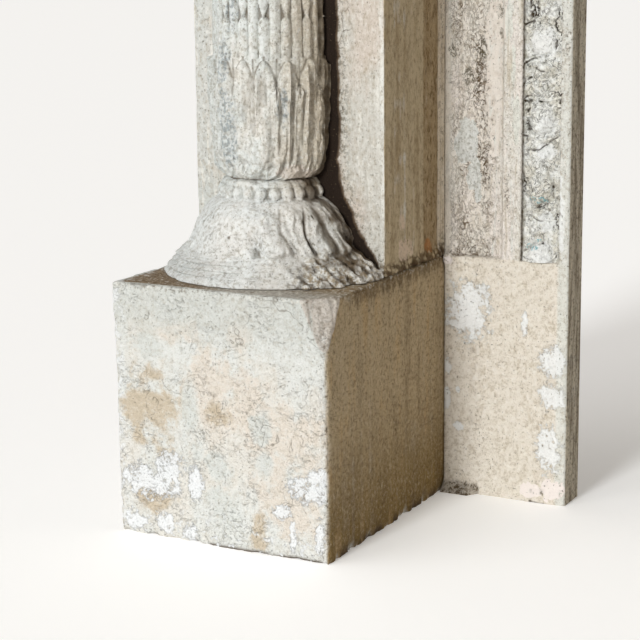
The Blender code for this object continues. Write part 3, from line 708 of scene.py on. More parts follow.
BASE_LOW, BASE_HIGH = box("left_column_base")
AXIS_X = (BASE_LOW[0] + BASE_HIGH[0]) / 2
BASE_RADIUS = (BASE_HIGH[0] - BASE_LOW[0]) / 2
AXIS_Y = BASE_LOW[1] + BASE_RADIUS
COLUMN_BACK = BASE_HIGH[1]
LEAF_PITCH = math.radians(22.5)
BEAD_PITCH = math.radians(15)
BEAD_HALF = 0.0058
BEAD_RISE = 0.0722
BEAD_DEPTH = 0.0054
NECK_FROM = 0.0655
HEAP_OUT = 0.0140
CLOGGED_LEFT_OF = math.radians(8)
BELL_PROFILE = (
    (0.0, 98.5), (1.5, 98.3), (3.0, 97.2), (6.0, 94.4), (9.0, 91.6), (12.5, 88.8), (16.0, 86.8),
    (18.5, 85.2), (20.5, 83.0), (22.0, 80.6), (24.0, 78.2), (30.0, 75.0), (39.0, 71.5), (47.0, 67.6),
    (55.0, 62.6), (61.0, 57.2), (64.5, 52.2), (66.6, 47.6), (68.5, 44.2), (75.5, 43.4), (77.5, 44.6),
    (79.5, 44.6), (81.5, 43.0), (83.0, 41.0), (83.8, 38.6),
)


def turned_half(profile, columns, back_columns, step):
    """Rings about the column's axis: for each height the front arc, then a straight run along the flat
    back. The profile gives (height, radius) in millimetres and is sampled evenly along its own
    length."""
    points = np.array(profile) / 1000
    length = np.concatenate(([0], np.cumsum(np.linalg.norm(np.diff(points, axis=0), axis=1))))
    run = np.linspace(0, length[-1], int(length[-1] / step))
    height, radius = (np.interp(run, length, points[:, k]) for k in (0, 1))
    end = math.pi / 2 + np.arcsin(np.clip((COLUMN_BACK - AXIS_Y) / radius, -1, 1))
    angle = end[:, None] * np.linspace(-1, 1, columns)
    back = np.linspace(1, -1, back_columns + 2)[1:-1]
    return height, radius, angle, back


def on_column(height, radius, angle):
    """The height and the place of each point of the plain turned surface, for its carving and its
    noise."""
    h = height[:, None] * np.ones_like(angle)
    return h, np.stack((radius[:, None] * np.sin(angle), -radius[:, None] * np.cos(angle), h), axis=-1)


def wrap_half(height, radius, angle, back, bottom):
    """The rings of a half-turned piece from its radius at each height and angle. Angle 0 faces the
    room."""
    x = AXIS_X + radius * np.sin(angle)
    y = np.minimum(AXIS_Y - radius * np.cos(angle), COLUMN_BACK)
    z = np.broadcast_to(bottom + height[:, None], x.shape)
    reach = (x[:, -1:] - x[:, :1]) / 2
    centre = (x[:, -1:] + x[:, :1]) / 2
    back_x = centre + reach * back
    back_y = np.full(back_x.shape, COLUMN_BACK)
    back_z = np.broadcast_to(z[:, -1:], back_x.shape)
    front = np.stack((x, y, z), axis=-1)
    behind = np.stack((back_x, back_y, back_z), axis=-1)
    return np.concatenate((front, behind), axis=1)


def leaf_phase(angle, pitch):
    """How far an angle is from the nearest repeat, from 0 on it to 1 midway to the next, and which side
    of it."""
    turn = angle / pitch
    off = turn - np.round(turn)
    return 2 * np.abs(off), np.sign(off)


def padded_dirt_and_shade(dirt_and_shade, back):
    """Dirt and painted-shade values for the front arc, with clean ones for the flat back."""
    return np.concatenate((dirt_and_shade, np.zeros((len(dirt_and_shade), len(back)))), axis=1)


def column_base(side, columns, step, seed):
    """The bell: each leaf swells by a sine across its width, with a ridge on its middle and deep lines
    between leaves, grows to a curled tip low down, and fades on the side where paint has clogged it. The
    beads are half balls on the neck. Noise roughens it all."""
    height, radius, angle, back = turned_half(BELL_PROFILE, columns, 10, step)
    h, place = on_column(height, radius, angle)
    sway = 0.34 * rough(place, 0.034, seed, 3) + 0.10 * np.sin(h * 150 + 1.0)
    phase, hand = leaf_phase(angle + sway * ease(h, 0.066, 0.030) * LEAF_PITCH * 1.6, LEAF_PITCH)
    crisp = 0.16 + 0.84 * ease(angle * -side, CLOGGED_LEFT_OF - 0.04, CLOGGED_LEFT_OF + 0.10)
    uneven = ease(rough(place, 0.020, seed + 7, 2), -0.55, 0.35)
    on_leaf = ease(h, 0.0185, 0.0265) * ease(h, NECK_FROM, 0.054)
    tip_line = 0.0205 + 0.012 * phase**2.2 + 0.0022 * rough(place, 0.02, seed + 8, 2)
    tip = hump(h - tip_line - 0.003, 0.0042) * (1 - phase**3)
    gap = hump(1 - phase, 0.15) * uneven
    ridge = hump(phase, 0.13) * (0.3 + uneven)
    vein = np.cos(phase * math.pi * 3.0 + h * 260 * hand) * (1 - gap)
    leaf = 0.0020 * np.cos(phase * math.pi / 2) - 0.0025 * gap + 0.0019 * ridge + 0.0006 * vein
    fold = 0.0030 * np.sin(phase * math.pi) * hand * ease(h, 0.05, 0.03)
    under = -0.0012 * ease(h, tip_line, tip_line - 0.003) * ease(h, 0.0160, 0.0205)
    crumple = rough(place * (1, 1, 0.8), 0.0125, seed + 9, 4)
    carving = crisp * (on_leaf * (leaf + fold + 0.0033 * crumple) + 0.0024 * tip * on_leaf + under)
    lines = 0.0020 * np.sin((h + 0.0012 * rough(place, 0.03, seed + 10, 2)) * 1250)
    lines = lines * ease(h, 0.024, 0.018) * ease(h, 0.002, 0.006)
    carving = carving + lines * (1 - 0.6 * crisp)
    scored = ease(-lines, 0.0008, 0.0018) * (1 - crisp) * ease(rough(place, 0.030, seed + 13, 2), -0.6, 0.3)
    bead_phase, _ = leaf_phase(angle, BEAD_PITCH)
    size = 1 + 0.10 * rough(place, 0.010, seed + 3, 2)
    along = bead_phase * BEAD_PITCH / 2 * 0.0465
    reach = (along**2 + (h - BEAD_RISE) ** 2) / (BEAD_HALF * size) ** 2
    bead = BEAD_DEPTH * np.sqrt(np.clip(1 - reach, 0, 1))
    crust = 0.00095 * rough(place, 0.016, seed + 4, 4) + 0.00045 * rough(place, 0.0034, seed + 5, 2)
    crust = crust * (1 + 0.7 * ease(h, 0.0745, 0.078)) * np.where(bead > 0.001, 0.5, 1.0)
    pits = -0.0013 * ease(rough(place, 0.0045, seed + 6, 2), 0.95, 1.25) * ease(h, 0.065, 0.055)
    heap = 0.0
    if side < 0:
        # Filler and debris square up the rim on the side by the surround.
        lumpy = 0.78 + 0.30 * rough(place, 0.020, 5, 2)
        heap = HEAP_OUT * ease(angle, 0.45, 1.10) * ease(h, 0.026, 0.002) * lumpy
    grown = radius[:, None] + carving + bead + crust + pits - 0.0006
    grown = np.minimum(grown, BASE_RADIUS) + heap
    wall = BASE_RADIUS + 0.0100 - 0.0010 * rough(place, 0.009, 8, 3)
    grown = np.minimum(grown, wall / np.maximum(np.abs(np.sin(angle)), 0.6))
    rings = wrap_half(height, grown, angle, back, BASE_LOW[2])
    if side < 0:
        front = rings[:, :columns]
        rubble = 0.0027 * rough(front, 0.0105, 14, 2) + 0.0024 * rough(front, 0.0050, 15, 3) - 0.0008
        rubble = rubble * np.clip(heap / 0.004, 0, 1)
        rings[:, :columns] = front + outward(rings)[:, :columns] * rubble[..., None]
        rings[..., 1] = np.minimum(rings[..., 1], COLUMN_BACK)
        rings[..., 2] = np.maximum(rings[..., 2], BASE_LOW[2])
    folds = hump(crumple, 0.14) * ease(h, 0.014, 0.022) * ease(h, NECK_FROM, 0.060)
    dirt_and_shade = np.clip(crisp * on_leaf * (gap * 0.8 + 0.3 * (1 - ridge) * phase) + pits / -0.0013, 0, 1)
    dirt_and_shade = np.maximum(dirt_and_shade, ease(crisp, 0.5, 1.0) * folds * 0.55)
    # Painted shade on the side towards the surround: broken by noise, and deepest by the pilaster, where it
    # runs past 1.
    shaded_side = ease(angle * -side, 0.80, 1.30) * ease(rough(place, 0.014, seed + 11, 4), -0.9, 0.5)
    deep_shaded_side = ease(angle * -side, 1.00, 1.50) * ease(rough(place, 0.009, seed + 12, 4), -1.0, 0.5)
    dirt_and_shade = np.maximum(dirt_and_shade, (shaded_side * 0.88 + deep_shaded_side * 0.85) * ease(h, 0.004, 0.016))
    if side < 0:
        cracked = ease(rough(rings[:, :columns], 0.0050, 15, 3), -0.05, -0.55)
        dirt_and_shade = np.maximum(dirt_and_shade, np.clip(heap / 0.002, 0, 1) * cracked * 0.85)
    neck = ease(h, NECK_FROM, 0.068) * (1 - np.clip(bead / 0.003, 0, 1)) * ease(h, 0.0795, 0.077)
    neck = neck * ease(rough(place, 0.012, seed + 14, 3), -0.9, 0.3)
    neck = neck * 0.58 + deep_shaded_side * 0.5 * ease(h, 0.064, 0.068)
    # A broken dark line round the bell's foot: painted shade where it sits on the block.
    rim = ease(h, 0.0012, 0.0) * (0.25 + 0.75 * ease(rough(place, 0.018, seed + 16, 3), -0.7, 0.5))
    dirt_and_shade = np.maximum.reduce((dirt_and_shade, scored * 0.50, neck, rim))
    rings[..., 0] = np.minimum(rings[..., 0], BLOCK_HIGH[0] - 0.0006)
    return rings, padded_dirt_and_shade(dirt_and_shade, back)


def column_paint():
    """Thick grey-white paint, painted warmer and darker towards the surround as painted shade, with brown in
    the hollows and blue-grey dirt specks."""
    paint = Paint("column_paint")
    turn = paint.near - AXIS_X
    patches = paint.noise(0.035, 6.0, tall=1.5, roughness=0.6).step(0.40, 0.62)
    blotch = paint.noise(0.006, 5.0, shift=(2, 6, 1), roughness=0.68)
    paint.colour = paint.mix((232, 234, 229), (231, 226, 216), patches)
    # Painted shade: the side towards the surround is painted warmer and darker, less so on the bell.
    warm_shade = (turn + paint.noise(0.02, 3.0) * 0.03).step(0.026, 0.078)
    bell = paint.z.step(BLOCK_TOP + 0.080, BLOCK_TOP + 0.065)
    warm_shade = warm_shade * (1.0 - bell * 0.62)
    paint.coat((200, 204, 200), turn.step(0.006, -0.050) * paint.left * 0.8)
    paint.coat((204, 189, 165), warm_shade * 0.92)
    paint.coat((190, 185, 171), blotch.step(0.52, 0.66) * 0.45)
    paint.coat((244, 244, 243), bell * 0.34)
    ragged = (paint.noise(0.012, 5.0, roughness=0.65) - 0.5) * 4.0
    cup = ((-17, 350, 11, 40), (-20, 412, 9, 20), (-12, 455, 9, 22), (35, 373, 4, 20))
    cup = paint.spots(turn, cup, ragged, 0.6)
    specks = cup * paint.noise(0.0034, 4.0, shift=(1, 1, 1)).step(0.47, 0.58)
    paint.coat((204, 209, 209), cup * 0.4)
    paint.coat((138, 147, 150), specks * 0.72)
    blush = paint.spots(turn, ((36, 315, 12, 8),), ragged * 0.6)
    paint.coat((222, 203, 188), blush * 0.5)
    heap = paint.z.step(BLOCK_TOP + 0.034, BLOCK_TOP + 0.014) * paint.left
    heap = heap * (turn + blotch * 0.02).step(0.062, 0.080)
    lumps = paint.noise(0.0052, 5.0, shift=(1, 7, 7), roughness=0.7)
    paint.coat((158, 138, 106), heap * lumps.step(0.54, 0.42) * 0.85)
    paint.coat((236, 232, 222), heap * lumps.step(0.57, 0.64) * 0.70)
    fine = paint.gritty((156, 145, 124), (250, 250, 247), share=0.55)
    # Brown by the per-point value: dirt in the hollows, and also painted shade under the cup, at the bell's
    # foot and on the side towards the surround.
    dirt = paint.dirt_and_shade.step(0.26, 0.95) * (0.45 + paint.noise(0.008, 5.0, shift=(3, 3, 3)) * 0.95)
    paint.coat((98, 82, 60), dirt * 0.88)
    # Deep brown where that value runs past 1: painted shade on the side of the column towards the surround.
    paint.coat((56, 40, 24), paint.dirt_and_shade.step(1.0, 1.7) * 0.9)
    pin = paint.pins((7, 1, 4))
    worm = paint.worms(0.009, 0.010, tall=1.8)
    worm = worm * paint.noise(0.02, 4.0, shift=(8, 1, 1)).step(0.46, 0.58)
    paint.coat((124, 112, 92), (pin * 0.6).most(worm * 0.40))
    pebbles = paint.cells(0.0078, "F1", shift=(8, 3, 3))
    paint.coat((88, 70, 46), heap * pebbles.step(0.42, 0.66) * 0.55)
    height = fine * 0.80 + blotch * 0.60 - pin * 0.3 - worm * 0.2 - heap * pebbles * 0.9
    return paint.finish(height, 0.0036, roughness=0.82)


column_material = column_paint()
left, right = (-1, 250, 0.0010, 31), (1, 150, 0.0017, 37)
pieces = "LEG_column_base_bell"
cast_both(column_base, pieces, "LEG_column_base", column_material, left, right)

# The column shafts: cast half-columns with a cup of tall leaves, then ribs with short cables between them.
# Pointed tongues hang over the cables, and open flutes run up to a plain collar.

SHAFT_HEIGHT = SHAFT_HIGH[2] - SHAFT_LOW[2]
SHAFT_RADIUS = 0.0515
SHAFT_TOP_RADIUS = 0.046
LEAF_TIP = 0.108
CABLE_TOP = 0.1440
TONGUE_TIP = 0.1425
TONGUE_END = 0.215
FLUTE_END = 0.022
REED_DEPTH = 0.0034
SHAFT_FLUTE_DEPTH = 0.0036
TONGUE_DEPTH = 0.0030
CABLE_ROUND = 0.0065
SMALL_LEAF_TIP = 0.087
COARSE_FROM = 0.175
CUP_PROFILE = (
    (0.0, 35.0), (4.6, 35.8), (5.2, 38.2), (6.2, 40.0), (8.6, 42.2), (12.5, 44.5), (17.5, 46.5),
    (24.0, 48.5), (33.0, 50.0), (52.0, 50.8), (75.0, 51.5), (108.0, 51.5),
)


def column_shaft(side, columns, step, upper_step, seed):
    """Radius by height and angle. Cup: leaves 16 round, each a plate with a ridge, thin side ribs that
    waver, and an arched tip; a small leaf shows between two tips. Above: 32 half-round ribs, every other
    one a cable that ends in a round top; a pointed tongue hangs over it in its flute. Flutes are half an
    ellipse deep."""
    lower, radius, angle, back = turned_half(CUP_PROFILE, columns, 10, step)
    plain = np.arange(lower[-1] + step, COARSE_FROM, step)
    count = int((SHAFT_HEIGHT - COARSE_FROM) / upper_step)
    upper = np.linspace(COARSE_FROM + upper_step, SHAFT_HEIGHT, count)
    height = np.concatenate((lower, plain, upper))
    taper = (height[len(lower):] - LEAF_TIP) / (SHAFT_HEIGHT - LEAF_TIP)
    radius = np.concatenate((radius, SHAFT_RADIUS + (SHAFT_TOP_RADIUS - SHAFT_RADIUS) * taper))
    end = math.pi / 2 + np.arcsin((COLUMN_BACK - AXIS_Y) / radius)
    angle = end[:, None] * np.linspace(-1, 1, columns)
    h, place = on_column(height, radius, angle)
    slow = rough(place * (1, 1, 0.5), 0.016, seed, 3) * (0.25 + 0.75 * ease(h, 0.125, 0.105))
    phase, _ = leaf_phase(angle + 0.026 * slow, LEAF_PITCH)
    # The cup of leaves.
    tip = LEAF_TIP + 0.0015 * rough(place * (1, 1, 0), 0.02, seed + 1, 1)
    arch = np.clip((tip - h) / 0.018, 0, 1) ** 0.54
    inside = ease(arch - phase + 0.12 * ease(h, 0.084, 0.066), 0.0, 0.16) * ease(h, tip, tip - 0.0012)
    share = np.clip(phase / np.maximum(arch, 0.05), 0, 1)
    ridge = hump(phase, 0.11)
    plate = 0.0012 + 0.0026 * ease(h, 0.062, 0.098) * (1 - 0.5 * share**2) + 0.0009 * ridge
    streak = 1 - 2.2 * np.abs(rough(place * (1, 1, 0.22), 0.0100, seed + 10, 4))
    knobs = rough(place * (1, 1, 0.65), 0.0085, seed + 11, 4)
    ribbing = (0.0026 * streak + 0.0024 * knobs) * (1 - 0.45 * ease(h, 0.082, 0.097))
    patchy = ease(rough(place * (1, 1, 0.5), 0.016, seed + 7, 2), -0.6, 0.3)
    groove = hump(1 - phase, 0.15) * (0.22 + 0.78 * ease(h, 0.062, 0.084))
    groove = groove * ease(h, 0.030, 0.050) * (0.12 + 0.8 * patchy)
    small = np.clip((SMALL_LEAF_TIP - h) / 0.014, 0, 1) ** 0.6 * 0.34
    small = ease(small - (1 - phase), 0.0, 0.06) * ease(h, 0.050, 0.066)
    cup = inside * (plate + ribbing) - 0.0021 * groove * (1 - small) + 0.0018 * small
    in_cup = h < LEAF_TIP + 0.002
    # Ribs and cables, then the tongues in their flutes.
    rib = np.sqrt(np.clip(1 - (2 - 2 * phase) ** 2, 0, 1))
    above = np.clip(h - (CABLE_TOP - CABLE_ROUND), 0, None) / CABLE_ROUND
    cable = np.sqrt(np.clip(1 - (2 * phase) ** 2 - above**2, 0, 1))
    rise = np.clip((h - TONGUE_TIP) / 0.0125, 0, 1)
    wide = 0.46 * rise**0.8 * ease(h, TONGUE_END, TONGUE_END - 0.05)
    tongue = np.sqrt(np.clip(1 - (phase / np.maximum(wide, 0.001)) ** 2, 0, 1)) * (wide > 0.004)
    flute = np.sqrt(np.clip(1 - (phase / 0.66) ** 2, 0, 1)) * ease(h, CABLE_TOP - 0.004, CABLE_TOP + 0.006)
    open_up = ease(h, 0.165, 0.195)
    reeds = REED_DEPTH * (np.maximum(rib, cable) - 1) * (1 - open_up)
    reeds = reeds - SHAFT_FLUTE_DEPTH * flute * open_up + TONGUE_DEPTH * tongue
    collar = ease(h, SHAFT_HEIGHT - FLUTE_END, SHAFT_HEIGHT - FLUTE_END + 0.003)
    reeds = reeds * (1 - collar)
    between = np.where(h > SMALL_LEAF_TIP, reeds * (1 - inside) + cup * inside, -1)
    carving = np.where(in_cup, np.maximum(cup, between), reeds)
    # Thick paint, knocks and dirt over it all.
    crust = 0.00075 * rough(place * (1, 1, 0.5), 0.009, seed + 4, 4)
    crust = crust + 0.00042 * rough(place, 0.0034, seed + 5, 2)
    knock = -0.0012 * ease(rough(place, 0.010, seed + 6, 2), 0.85, 1.2)
    calm = 1.42 - 0.42 * ease(h, LEAF_TIP - 0.004, LEAF_TIP + 0.004) - 0.6 * collar
    grown = radius[:, None] + carving + (crust + knock) * calm - 0.0003
    rings = wrap_half(height, grown, angle, back, SHAFT_LOW[2])
    low_ground = np.clip(-carving / REED_DEPTH, 0, 1) ** 2 * (0.38 + 0.42 * patchy)
    dirt_and_shade = np.where(in_cup, np.maximum(groove * 0.8, 0.50 * ease(-ribbing, 0.0004, 0.0020)), low_ground)
    # Darker at the shaft's foot, under the cup: painted shade.
    dirt_and_shade = np.maximum(dirt_and_shade, (0.45 + 0.5 * patchy) * ease(h, 0.0075, 0.0052))
    beyond = (1 - inside) * ease(arch - phase, -0.30, 0.0) * ease(h, 0.085, 0.093) * (h < LEAF_TIP + 0.004)
    dirt_and_shade = np.maximum(dirt_and_shade, beyond * 0.75 * (0.4 + 0.6 * patchy))
    # Painted shade on the side towards the surround, broken by noise, and even where it meets the pilaster.
    shaded_side = ease(angle * -side, 1.08, 1.50) * ease(rough(place, 0.014, seed + 9, 4), -0.9, 0.5)
    deep_shaded_side = ease(angle * -side, 1.45, 1.80)
    dirt_and_shade = np.clip(np.maximum(dirt_and_shade, shaded_side * 0.9 + deep_shaded_side * 0.6), 0, 1.5)
    return rings, padded_dirt_and_shade(dirt_and_shade, back)


left, right = (-1, 210, 0.0010, 0.0046, 41), (1, 112, 0.0021, 0.0070, 47)
pieces = "LEG_column_shaft_carved"
cast_both(column_shaft, pieces, "LEG_column_shaft", column_material, left, right)

# The column capitals, cast in plaster: a neck ring, a short bell of leaves and a slab under the frieze.
# They are out of the photo, so they repeat the leaves of the shaft's cup in a plainer form.

CAPITAL_LOW, CAPITAL_HIGH = box("left_column_capital")
ABACUS_HEIGHT = 0.022
CAPITAL_LEAF_TIP = 0.0475
ABACUS_HALF = (CAPITAL_HIGH[0] - CAPITAL_LOW[0]) / 2 - 0.0004
CAPITAL_PROFILE = (
    (0.3, 46.0), (1.5, 49.0), (4.0, 51.4), (6.5, 52.0), (9.0, 51.4), (11.5, 49.0), (12.6, 46.8),
    (14.0, 46.6), (20.0, 48.0), (30.0, 50.5), (38.0, 54.0), (44.0, 58.0), (47.0, 60.0), (49.0, 62.0),
    (51.5, 62.0), (54.3, 60.0),
)


def capital_bell(columns, step, seed):
    """The turned bell, with 16 leaves that stand proud and curl out at the top, and noise over it."""
    height, radius, angle, back = turned_half(CAPITAL_PROFILE, columns, 8, step)
    h, place = on_column(height, radius, angle)
    phase, _ = leaf_phase(angle, LEAF_PITCH)
    arch = np.clip((CAPITAL_LEAF_TIP - h) / 0.018, 0, 1) ** 0.6
    leaf = ease(arch - phase, 0.0, 0.16) * ease(h, 0.0145, 0.018)
    ridge = hump(phase, 0.12)
    crust = 0.0004 * rough(place, 0.010, seed, 3)
    carving = leaf * (0.0014 + 0.0009 * ridge + 0.0010 * ease(h, 0.034, 0.046))
    carving = (carving - 0.0008 * (1 - leaf) * ease(h, 0.013, 0.016)) * ease(h, 0.0505, 0.0485)
    rings = wrap_half(height, radius[:, None] + carving + crust - 0.0004, angle, back, CAPITAL_LOW[2])
    dirt_and_shade = (1 - leaf) * ease(h, 0.0125, 0.016) * ease(h, 0.049, 0.044) * 0.7
    return rings, padded_dirt_and_shade(dirt_and_shade, back)


def worn_slab(plan_at, levels, edge, seed, amount):
    """Rings of a level-sided slab: an outline for each level, pushed about by slow waves and fine noise.
    A clean ring just inside each end keeps the dirt of the worn edge off the flat faces."""
    foot_out, foot_z = levels[0]
    top_out, top_z = levels[-1]
    levels = [(foot_out - 0.002, foot_z), *levels, (top_out - 0.002, top_z)]
    edge = np.concatenate(([0.0], edge, [0.0]))
    plans = [plan_at(out) for out, _ in levels]
    rings = np.stack([np.column_stack((plan, np.full(len(plan), z))) for plan, (_, z) in zip(plans, levels)])
    waves = rough(rings, 0.09, seed, 2) + 0.6 * rough(rings, 0.012, seed + 1, 3)
    knocks = ease(rough(rings, 0.022, seed + 2, 3), 0.7, 1.1) * edge[:, None]
    push = amount * (0.5 * waves - 0.8 - 2.2 * knocks)
    out = outward(rings)
    out[..., 2] = 0
    back = rings[..., 1] > CAD_HIGH[1] - 0.001
    rings = rings + out * np.where(back, 0.0, push)[..., None]
    return rings, np.clip(knocks * 0.5, 0, 1)


def finer(levels, step):
    """Cuts a profile of (out, height) into steps no longer than this, keeping its corners."""
    points = [levels[0]]
    for start, end in zip(levels[:-1], levels[1:]):
        count = max(1, math.ceil(math.dist(start, end) / step))
        points += [tuple(np.array(start) + (np.array(end) - start) * k / count) for k in range(1, count + 1)]
    return points


def abacus_plan(out):
    """The slab's square in plan, drawn in by this much, with its back to the pilaster."""
    reach = ABACUS_HALF - out
    front, left, right = AXIS_Y - reach, AXIS_X - reach, AXIS_X + reach
    corners = [(left, front), (right, front), (right, COLUMN_BACK), (left, COLUMN_BACK)]
    return worn_outline(corners, (40, 22, 6, 22), 0.0015)


for name, columns, step, seed in (
    ("left_column_capital", 130, 0.0014, 51),
    ("right_column_capital", 100, 0.0018, 57),
):
    rings, dirt_and_shade = capital_bell(columns, step, seed)
    cast(name + "_bell", rings, dirt_and_shade, column_material, name)
    top = CAPITAL_HIGH[2]
    base = top - ABACUS_HEIGHT
    levels = [(0.002, base), (0.0006, base + 0.0006), (0.0, base + 0.002)]
    levels += [(0.0, top - 0.002), (0.0008, top - 0.0004)]
    levels = finer(levels, 0.0015)
    rings, dirt_and_shade = worn_slab(abacus_plan, levels, np.ones(len(levels)), seed, 0.0005)
    cast(name + "_slab", rings, dirt_and_shade, column_material, name)

# The surround: a plaster architrave round the hearth opening, two jambs and a lintel mitred at the corners.
# It is run with a shallow flute, a sharp quirk and a sunk channel for the moulded band; its feet are plain.

LINTEL_LOW, _ = box("surround_lintel")
OPENING_X = JAMB_HIGH[0]
OPENING_TOP = LINTEL_LOW[2]
SURROUND_WIDTH = JAMB_HIGH[0] - JAMB_LOW[0]
SURROUND_DEPTH = JAMB_HIGH[1] - JAMB_LOW[1]
STOP = BLOCK_TOP + 0.0003
FLUTE = (0.063, 0.108)
CHANNEL = (0.0098, 0.0457)
CHANNEL_DEPTH = 0.009
FLUTE_DEPTH = 0.0085
QUIRK = 0.0464
FOOT_CRUST = 0.0095
FOOT_LUMP = 0.006
# The photo shows the leg up to here, so the meshes are finer below.
SEEN_UP_TO = 0.470


def surround_section(front, side):
    """Points (across from the opening's edge, depth behind the face) round the whole section, front
    first. The second depth is for the plain foot, where flute, quirk and channel are filled up."""
    bow = np.linspace(-1, 1, 15)
    flute = [(FLUTE[0] + (FLUTE[1] - FLUTE[0]) * (b + 1) / 2, FLUTE_DEPTH * (1 - b * b) ** 0.5) for b in bow]
    left, right = CHANNEL
    outline = [(0.0, 0.0030), (0.0004, 0.0015), (0.0013, 0.0004), (0.0030, 0.0), (left - 0.0006, 0.0002)]
    outline += [(left, 0.0012), (left, CHANNEL_DEPTH), (right, CHANNEL_DEPTH), (right, 0.0026)]
    outline += [(QUIRK, 0.0008), (QUIRK + 0.0010, 0.0), (FLUTE[0] - 0.0006, 0.0)]
    outline += flute + [(FLUTE[1] + 0.0006, 0.0), (SURROUND_WIDTH - 0.0012, 0.0), (SURROUND_WIDTH, 0.0010)]
    face = np.array(finer(outline, front))
    ends = [(SURROUND_WIDTH, 0.0010), (SURROUND_WIDTH, SURROUND_DEPTH), (0.0, SURROUND_DEPTH), (0.0, 0.0030)]
    rest = np.array(finer(ends, side))[1:-1]
    across, cut = np.concatenate((face, rest)).T
    plain = cut.copy()
    middle = (across > 0.004) & (across < SURROUND_WIDTH - 0.002) & (np.arange(len(cut)) < len(face))
    plain[middle] = 0.0
    return across, cut, plain, np.arange(len(cut)) < len(face)


def flat_place(across, along):
    """The place of each point of a flat face, for its noise."""
    return np.stack((across, np.zeros_like(across), along), axis=-1)


def surround_relief(across, along, front, seed):
    """How far the face is pushed back: slow waves, pitted crust in patches, dents along the opening's
    edge."""
    place = flat_place(across, along)
    in_patches = ease(rough(place * (1, 1, 0.4), 0.03, seed + 1, 2), -0.3, 0.7)
    crust = rough(place, 0.006, seed, 3) * (0.25 + in_patches)
    waves = rough(place * (1, 1, 0.35), 0.05, seed + 2, 2)
    knocks = np.clip(rough(place, 0.014, seed + 3, 3), 0, 1) * fade(across, 0.004)
    holes = ease(rough(place, 0.0045, seed + 4, 2), 0.80, 1.15)
    back = 0.0006 + 0.00035 * crust + 0.0003 * waves + 0.0016 * knocks + 0.0009 * holes
    dirt = np.clip(holes * 0.65 + 0.15 * ease(crust, 0.3, 0.9), 0, 1)
    return np.where(front, back, 0.0), np.where(front, dirt, 0.0)


JAMB_CRACKS = (
    ((60.5, 297.6), (62.4, 288.5), (63.1, 280.0), (64.1, 271.5)), ((28, 400), (21, 372), (12, 347)),
    ((27, 399), (39, 395), (40, 386), (34, 383)), ((14, 378), (16, 390), (22, 384)),
)


def scored(across, up, lines, width):
    """1 on lines through (across, up) points in millimetres, falling away as a bell curve of this
    width."""
    near = np.full(across.shape, 99.0)
    for line in lines:
        for (a, b), (c, d) in zip(line[:-1], line[1:]):
            share = ((across - a) * (c - a) + (up - b) * (d - b)) / ((c - a) ** 2 + (d - b) ** 2)
            share = np.clip(share, 0, 1)
            near = np.minimum(near, np.hypot(across - a - share * (c - a), up - b - share * (d - b)))
    return hump(near, width)


def surround_jamb(side, front_step, rows, seed):
    """The section carried up the jamb, plain below the stop and mitred at the top; debris crusts its
    foot."""
    across, cut, plain, front = surround_section(front_step, front_step * 2.2)
    low_rows, high_rows = rows
    top = OPENING_TOP + SURROUND_WIDTH / 2
    below = np.linspace(0, STOP - 0.0012, low_rows)
    above = np.linspace(STOP + 0.0024, SEEN_UP_TO, low_rows)
    unseen = np.linspace(SEEN_UP_TO + 0.004, top, high_rows)
    up = np.concatenate((below, (STOP - 0.0004, STOP + 0.0002, STOP + 0.0010), above, unseen))
    a = np.broadcast_to(across, (len(up), len(across)))
    z = up[:, None] + (a - SURROUND_WIDTH / 2) * (up[:, None] / top) ** 10
    fluted = ease(z, STOP - 0.0006, STOP + 0.0006)
    depth = plain + (cut - plain) * fluted
    in_front = np.broadcast_to(front, a.shape)
    back, dirt = surround_relief(a, z, in_front, seed)
    place = flat_place(a, z)
    rind = np.clip(rough(place, 0.012, seed + 8, 3) + 0.62, 0, 1) * ease(a, 0.030, 0.055)
    lump = hump(a - 0.117, 0.008) * hump(z - STOP + 0.002, 0.006)
    lump = lump * (1 + 0.7 * rough(place, 0.006, seed + 9, 2))
    crust = (FOOT_CRUST * rind * hump(z, 0.0068) + FOOT_LUMP * lump) * in_front * (side < 0)
    depth = depth + back * ease(depth, SURROUND_DEPTH, 0.02) - crust
    rings = np.stack((OPENING_X - a, SURROUND_Y + depth, z), axis=-1)
    sides = ~in_front & (np.abs(depth - SURROUND_DEPTH) > 0.001) & (a < 0.001)
    rings[..., 0] -= sides * (0.0003 + 0.0003 * np.clip(rough(rings, 0.02, seed + 5, 3), -1, 1))
    corner = fade(np.abs(z - STOP), 0.0015) * fluted * ease(cut - plain, 0.001, 0.004) * 0.6
    broken = ease(rough(place, 0.012, seed + 7, 3), -0.5, 0.3)
    quirk = (np.abs(a - CHANNEL[1]) < 0.0004) * fluted * 0.95 * broken
    runs = ease(rough(rings * (1, 1, 0.30), 0.014, seed + 6, 4), -0.9, 0.9)
    outer_half = ease(a, 0.068, 0.090) * (0.55 + 0.3 * runs) * fluted * 0.8
    dirt_and_shade = np.clip(dirt + corner + quirk + outer_half * in_front + np.clip(crust / 0.003, 0, 1), 0, 1)
    if side < 0:
        shaky = 2.2 * rough(place, 0.010, seed + 10, 3)
        cracks = scored((SURROUND_WIDTH - a) * 1000 + shaky, z * 1000, JAMB_CRACKS, 2.4) * in_front
        cracks = cracks * ease(rough(place, 0.007, seed + 11, 3), -0.7, -0.1)
        dirt_and_shade = np.maximum(dirt_and_shade, cracks * 0.97)
    return rings, dirt_and_shade


